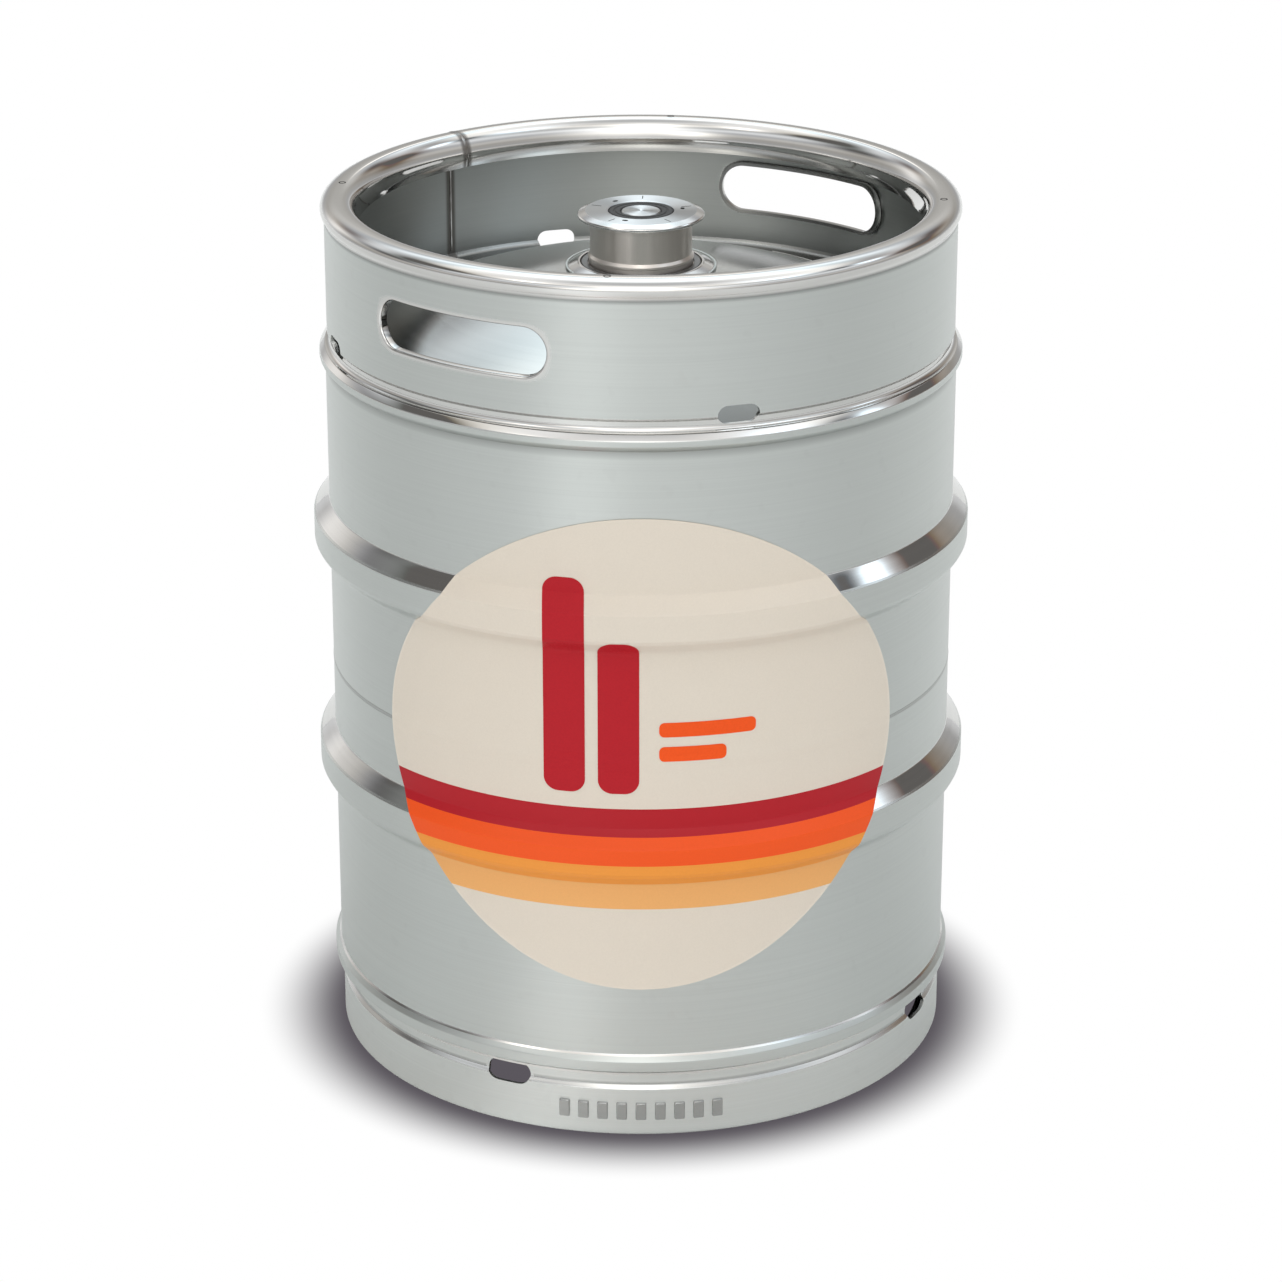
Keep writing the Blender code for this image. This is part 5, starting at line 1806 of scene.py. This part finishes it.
@dataclass(frozen=True)
class Label:
    """The round film on the front, which follows the hoops, and its plain print."""

    shells: Shells
    radius: float = reach_of("front_label")
    centre_z: float = round(0.5 * (low_z("front_label") + high_z("front_label")), 4)
    gap: float = 0.0006
    thickness: float = 0.0002
    ink: float = 0.0001
    print_foot: float = 0.2235
    print_width: float = 0.0240
    seam_cover: float = 0.0005
    columns: int = 150
    block_columns: int = 16
    swing_rows: int = 90

    def rows(self) -> np.ndarray:
        """Return the heights of the film's rows, close together over the hoops' edges."""
        low, high = self.centre_z - self.radius, self.centre_z + self.radius
        profile = np.concatenate([self.shells.lower_profile().heights,
                                  self.shells.upper_profile().heights])
        turn = np.linspace(-0.5 * math.pi, 0.5 * math.pi, self.swing_rows)
        swing = self.centre_z + self.radius * np.sin(turn)
        inside = profile[(profile > low + 0.002) & (profile < high - 0.002)]
        heights = np.unique(np.round(np.concatenate([swing, inside]), 5))
        kept = [heights[0]]
        for value in heights[1:-1]:
            if value - kept[-1] > 0.00015:
                kept.append(value)
        kept.append(heights[-1])
        return np.array(kept)

    def patch(self, draft: MeshDraft, heights: np.ndarray, left: np.ndarray, right: np.ndarray,
              lift: float, columns: int) -> None:
        """Add a patch of film between two edges.

        Args:
            draft: The mesh it goes to.
            heights: The heights of its rows.
            left: Where each row starts, as a distance across the front.
            right: Where each row ends.
            lift: How far it stands off the steel.
            columns: How many cells a row has.
        """
        radii = self.shells.face_at(heights)
        over = np.abs(heights - self.shells.seam_z)
        step_over = np.clip(1.0 - (over - 0.0015) / 0.003, 0.0, 1.0)
        radii = radii + lift + self.seam_cover * step_over
        rows = []
        for height, radius, start, end in zip(heights, radii, left, right):
            start = max(start, -radius)
            across = np.linspace(math.asin(start / radius), math.asin(min(end, radius) / radius),
                                 columns + 1)
            if end - start < SAME_PLACE:
                rows.append([draft.add(polar(radius, float(across[0]), height))] * (columns + 1))
            else:
                rows.append([draft.add(polar(radius, float(turn), height)) for turn in across])
        for low, high in zip(rows, rows[1:]):
            for column in range(columns):
                loop = (low[column], low[column + 1], high[column + 1], high[column])
                face = tuple(dict.fromkeys(loop))
                if len(face) > 2:
                    draft.faces.append(face)

    def build(self, looks: Finishes) -> None:
        """Make the film and the plain blocks printed on it."""
        heights = self.rows()
        half = np.sqrt(np.maximum(self.radius ** 2 - (heights - self.centre_z) ** 2, 0.0))
        draft = MeshDraft()
        self.patch(draft, heights, -half, half, self.gap, self.columns)
        draft.thicken(self.thickness)
        film = draft.to_object("label_disc", FILM_DEGREES)
        finish_piece(film, looks.film, Slot.FILM, Body.KEG, "front_label")
        self._blocks(looks)

    def _blocks(self, looks: Finishes) -> None:
        """Make the plain printed blocks, one tall pair and one small pair."""
        tall = MeshDraft()
        for middle, top in ((-0.0445, 0.3560), (-0.0130, 0.3200)):
            self._block(tall, middle, self.print_foot, top, self.print_width)
        tall.thicken(self.ink)
        finish_piece(tall.to_object("print_tall", FILM_DEGREES), looks.red, Slot.FILM, Body.KEG)
        small = MeshDraft()
        for middle, bottom, top, width in ((0.0385, 0.2590, 0.2680, 0.0560),
                                           (0.0300, 0.2440, 0.2530, 0.0390)):
            self._block(small, middle, bottom, top, width)
        small.thicken(self.ink)
        finish_piece(small.to_object("print_small", FILM_DEGREES), looks.orange, Slot.FILM, Body.KEG)

    def _block(self, draft: MeshDraft, middle: float, bottom: float, top: float,
               width: float) -> None:
        """Add one block with round corners.

        Args:
            draft: The mesh it goes to.
            middle: Where its middle is, as a distance across the front.
            bottom: The height of its foot.
            top: The height of its head.
            width: Its width.
        """
        corner = min(0.35 * width, 0.35 * (top - bottom))
        rows = self.rows()
        ends = corner * (1.0 - np.cos(np.linspace(0.0, 0.5 * math.pi, 9)))
        inside = rows[(rows > bottom + corner) & (rows < top - corner)]
        heights = np.unique(np.round(np.concatenate([bottom + ends, inside, top - ends]), 5))
        near = np.minimum(heights - bottom, top - heights)
        share = np.clip((corner - near) / corner, 0.0, 1.0)
        half = 0.5 * width - corner * (1.0 - np.sqrt(np.maximum(1.0 - share ** 2, 0.0)))
        self.patch(draft, heights, middle - half, middle + half,
                   self.gap + self.thickness, self.block_columns)


@dataclass(frozen=True)
class Ticket:
    """The paper ticket on the dome."""

    shells: Shells
    azimuth: float = math.radians(135.0)
    half: float = math.radians(9.0)
    inner: float = 0.1400
    outer: float = 0.1660
    thickness: float = 0.0003
    rows: int = 8
    columns: int = 16

    def build(self, looks: Finishes) -> None:
        """Make the ticket and the plain bars printed on it."""
        draft = MeshDraft()
        self._patch(draft, self.inner, self.outer, -self.half, self.half, self.thickness)
        draft.thicken(-self.thickness)
        ticket = draft.to_object("paper_ticket", FILM_DEGREES)
        finish_piece(ticket, looks.paper, Slot.PAPER, Body.KEG, "dome_ticket")
        bars = MeshDraft()
        for number, (start, end) in enumerate(((0.143, 0.146), (0.149, 0.151), (0.154, 0.156),
                                               (0.159, 0.163))):
            reach = self.half * (0.8 if number % 2 else 0.55)
            self._patch(bars, start, end, -self.half * 0.8, reach, 0.00065)
        finish_piece(bars.to_object("ticket_bars", FILM_DEGREES), looks.shade_and_ink, Slot.PAPER, Body.KEG)

    def _patch(self, draft: MeshDraft, inner: float, outer: float, left: float, right: float,
               lift: float) -> None:
        """Add a patch that follows the dome.

        Args:
            draft: The mesh it goes to.
            inner: The radius of its inner edge.
            outer: The radius of its outer edge.
            left: Where it starts, as a turn from the ticket's middle.
            right: Where it ends.
            lift: How far it stands off the dome.
        """
        rows = []
        for part in range(self.rows + 1):
            radius = outer + (inner - outer) * part / self.rows
            height = self.shells.dome_z(radius) + lift
            turns = [self.azimuth + left + (right - left) * n / self.columns
                     for n in range(self.columns + 1)]
            rows.append([draft.add(polar(radius, turn, height)) for turn in turns])
        for low, high in zip(rows, rows[1:]):
            for n in range(self.columns):
                draft.faces.append((low[n], low[n + 1], high[n + 1], high[n]))


class KeptNodes:
    """The frame's own pieces that stay, with detailed finishes."""

    def dress(self, looks: Finishes) -> None:
        """Give each kept node its finish."""
        finishes = {
            "neck_seal": looks.rubber, "spring_cage": looks.bright, "tube_guide": looks.plastic,
            "valve_carrier": looks.bright, "down_tube": looks.bright,
            "beer_spring_seat": looks.plastic,
        }
        for name, material in finishes.items():
            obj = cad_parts[name]
            for holder in obj.material_slots:
                holder.material = material
            if not obj.material_slots:
                obj.data.materials.append(material)
            LOG.info("%s keeps its own shape", name)


# ----------------------------------------
# Studio
# ----------------------------------------


@dataclass(frozen=True)
class Glow:
    """One soft patch of the surroundings' light, as a lobe round a direction."""

    azimuth: float
    elevation: float
    sharpness: float
    colour: Colour
    strength: float


@dataclass(frozen=True)
class Studio:
    """Pale floor, soft surroundings and the camera."""

    camera_distance: float = 2.426
    camera_height: float = 1.1936
    camera_pitch: float = math.radians(21.37)
    lens: float = 118.0
    steps: tuple[tuple[float, Colour], ...] = (
        (0.00, (0.66, 0.67, 0.68)), (0.10, (0.42, 0.42, 0.42)), (0.22, (0.44, 0.43, 0.41)),
        (0.34, (0.62, 0.61, 0.59)), (0.46, (0.52, 0.53, 0.55)), (0.60, (0.90, 0.93, 0.96)),
        (0.72, (0.55, 0.56, 0.57)), (0.84, (1.25, 1.24, 1.21)), (0.93, (1.05, 1.05, 1.05)),
        (1.00, (0.60, 0.61, 0.62)),
    )
    glows: tuple[Glow, ...] = (
        Glow(-21.0, 18.0, 60.0, (1.0, 0.99, 0.95), 1.0),
        Glow(6.0, 26.0, 14.0, (1.0, 1.0, 0.98), 1.0),
        Glow(-4.0, 50.0, 60.0, (1.0, 0.98, 0.92), 1.1),
        Glow(107.0, 40.0, 420.0, (0.75, 0.95, 1.1), 2.4),
        Glow(72.0, 56.0, 90.0, (0.55, 0.80, 1.0), 0.9),
        Glow(-58.0, 55.0, 240.0, (1.0, 0.95, 0.86), 1.3),
        Glow(-143.0, 14.0, 60.0, (1.0, 1.0, 1.0), 0.6),
        Glow(180.0, 23.0, 700.0, (1.0, 0.96, 0.90), 1.4),
        Glow(-150.0, 26.0, 60.0, (0.88, 0.97, 1.03), -0.40),
        Glow(150.0, 26.0, 60.0, (0.88, 0.97, 1.03), -0.40),
        Glow(180.0, 50.0, 26.0, (0.70, 0.90, 1.0), 1.3),
        Glow(-108.0, 40.0, 24.0, (1.0, 1.03, 1.08), -0.7),
        Glow(-92.0, 50.0, 60.0, (0.96, 1.0, 1.05), -0.35),
        Glow(124.0, 27.0, 36.0, (0.88, 1.0, 1.08), -0.7),
        Glow(96.0, 46.0, 260.0, (1.0, 1.0, 1.0), -0.50),
        Glow(30.0, 62.0, 60.0, (0.9, 0.95, 1.0), -0.30),
        Glow(-36.0, 62.0, 90.0, (0.9, 0.95, 1.0), -0.30),
    )
    # Bright and dark patches painted into the floor's colour, seen only in reflections.
    painted_floor_glows: tuple[Glow, ...] = (
        Glow(-21.0, 0.0, 30.0, (1.0, 1.0, 1.0), 0.30),
        Glow(180.0, 0.0, 4.0, (1.0, 1.0, 1.0), 0.15),
        Glow(-92.0, 0.0, 8.0, (1.0, 1.0, 1.0), -0.10),
        Glow(78.0, 0.0, 8.0, (1.0, 1.0, 1.0), -0.12),
    )
    dimmest: Colour = (0.14, 0.135, 0.13)
    floor_reach: float = 14.0
    floor_drop: float = 0.0004
    floor_colour: Colour = (0.86, 0.86, 0.85)
    # The painted contact shadow round the foot.
    painted_shadow_colour: Colour = (0.105, 0.095, 0.110)
    painted_shadow_inner: float = 0.186
    painted_shadow_outer: float = 0.245

    def build(self) -> None:
        """Make the surroundings, the floor and the camera."""
        self._world()
        self._floor()
        self._camera()
        bpy.context.scene.view_settings.view_transform = "Standard"

    def _world(self) -> None:
        """Make soft surroundings with bright and dim patches, plain white to the eye."""
        world = bpy.data.worlds.new("studio")
        bpy.context.scene.world = world
        world.use_nodes = True
        tree = world.node_tree
        tree.nodes.clear()
        sheet = NodeSheet(tree)
        place = sheet.add("ShaderNodeTexCoord")
        split = sheet.add("ShaderNodeSeparateXYZ")
        sheet.join(place.outputs["Generated"], split.inputs[0])
        total: object = self.steps[0][1]
        for (low, _), (high, colour) in zip(self.steps, self.steps[1:]):
            total = sheet.blend(sheet.ramp(split.outputs["Z"], low, high), total, colour)
        total = self._add_glows(sheet, place.outputs["Generated"], total, self.glows)
        total = sheet.blend(1.0, total, self.dimmest, "LIGHTEN")
        backdrop = sheet.add("ShaderNodeBackground")
        backdrop.inputs["Color"].default_value = (1.0, 1.0, 1.0, 1.0)
        around = sheet.add("ShaderNodeBackground")
        sheet.join(total, around.inputs["Color"])
        self._end(sheet, around, backdrop, "ShaderNodeOutputWorld")

    @staticmethod
    def _end(sheet: NodeSheet, lit: Node, seen: Node, kind: str) -> None:
        """End a tree with one shader for the light and one for the eye.

        Args:
            sheet: The tree's sheet.
            lit: The shader that the light meets.
            seen: The shader that the camera sees.
            kind: The type of the tree's last node.
        """
        rays = sheet.add("ShaderNodeLightPath")
        choose = sheet.add("ShaderNodeMixShader")
        sheet.join(rays.outputs["Is Camera Ray"], choose.inputs[0])
        sheet.join(lit.outputs[0], choose.inputs[1])
        sheet.join(seen.outputs[0], choose.inputs[2])
        end = sheet.add(kind)
        sheet.join(choose.outputs[0], end.inputs["Surface"])

    @staticmethod
    def _add_glows(sheet: NodeSheet, direction: Socket, total: object,
                   glows: Sequence[Glow]) -> object:
        """Add bright and dim lobes to a colour.

        Args:
            sheet: The tree's sheet.
            direction: The direction that is looked in.
            total: The colour so far.
            glows: The lobes.

        Returns:
            The colour with its lobes.
        """
        for glow in glows:
            turn, rise = math.radians(glow.azimuth), math.radians(glow.elevation)
            toward = sheet.vector("DOT_PRODUCT", direction,
                                  polar(math.cos(rise), turn, math.sin(rise)))
            facing = sheet.maths("MAXIMUM", toward.outputs["Value"], 0.0)
            lobe = sheet.maths("POWER", facing, glow.sharpness)
            lobe = sheet.maths("MULTIPLY", lobe, abs(glow.strength))
            mode = "ADD" if glow.strength > 0.0 else "SUBTRACT"
            total = sheet.blend(lobe, total, glow.colour, mode)
        return total

    def _floor(self) -> None:
        """Make the pale floor, with a painted contact shadow round the foot."""
        mesh = bpy.data.meshes.new("floor")
        reach = self.floor_reach
        mesh.from_pydata([(-reach, -reach, 0.0), (reach, -reach, 0.0), (reach, reach, 0.0),
                          (-reach, reach, 0.0)], [], [(0, 1, 2, 3)])
        floor = bpy.data.objects.new("floor", mesh)
        bpy.context.scene.collection.objects.link(floor)
        floor.location.z = -self.floor_drop
        material = bpy.data.materials.new("pale_floor")
        material.use_nodes = True
        tree = material.node_tree
        tree.nodes.clear()
        sheet = NodeSheet(tree)
        place = sheet.add("ShaderNodeTexCoord")
        length = sheet.vector("LENGTH", place.outputs["Object"])
        # Painted shadow: the floor darkens towards the foot.
        fade = sheet.ramp(length.outputs["Value"], self.painted_shadow_inner, self.painted_shadow_outer)
        tone = sheet.blend(fade, self.painted_shadow_colour, (1.0, 1.0, 1.0))
        bright = sheet.add("ShaderNodeEmission")
        sheet.join(tone, bright.inputs["Color"])
        matt = sheet.add("ShaderNodeBsdfDiffuse")
        outward = sheet.vector("NORMALIZE", place.outputs["Object"])
        # Painted light and shade in the floor's colour, for reflections.
        sheet.join(self._add_glows(sheet, outward.outputs[0], self.floor_colour,
                                   self.painted_floor_glows), matt.inputs["Color"])
        self._end(sheet, matt, bright, "ShaderNodeOutputMaterial")
        mesh.materials.append(material)

    def _camera(self) -> None:
        """Make the camera."""
        data = bpy.data.cameras.new("camera")
        data.lens = self.lens
        data.sensor_width = 36.0
        data.clip_end = 60.0
        camera = bpy.data.objects.new("camera", data)
        camera.location = (0.0, -self.camera_distance, self.camera_height)
        camera.rotation_euler = (0.5 * math.pi - self.camera_pitch, 0.0, 0.0)
        bpy.context.scene.collection.objects.link(camera)
        bpy.context.scene.camera = camera


def main() -> None:
    """Build the keg and the studio."""
    logging.basicConfig(level=logging.INFO, format="%(name)s: %(message)s")
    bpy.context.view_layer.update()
    looks = Finishes()
    shells = Shells()
    shells.build(looks)
    TopChime().build(looks)
    FootChime().build(looks)
    Fitting().build(looks)
    Valves().build(looks)
    Label(shells).build(looks)
    Ticket(shells).build(looks)
    KeptNodes().dress(looks)
    Studio().build()
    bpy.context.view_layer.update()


if __name__ == "__main__":
    main()
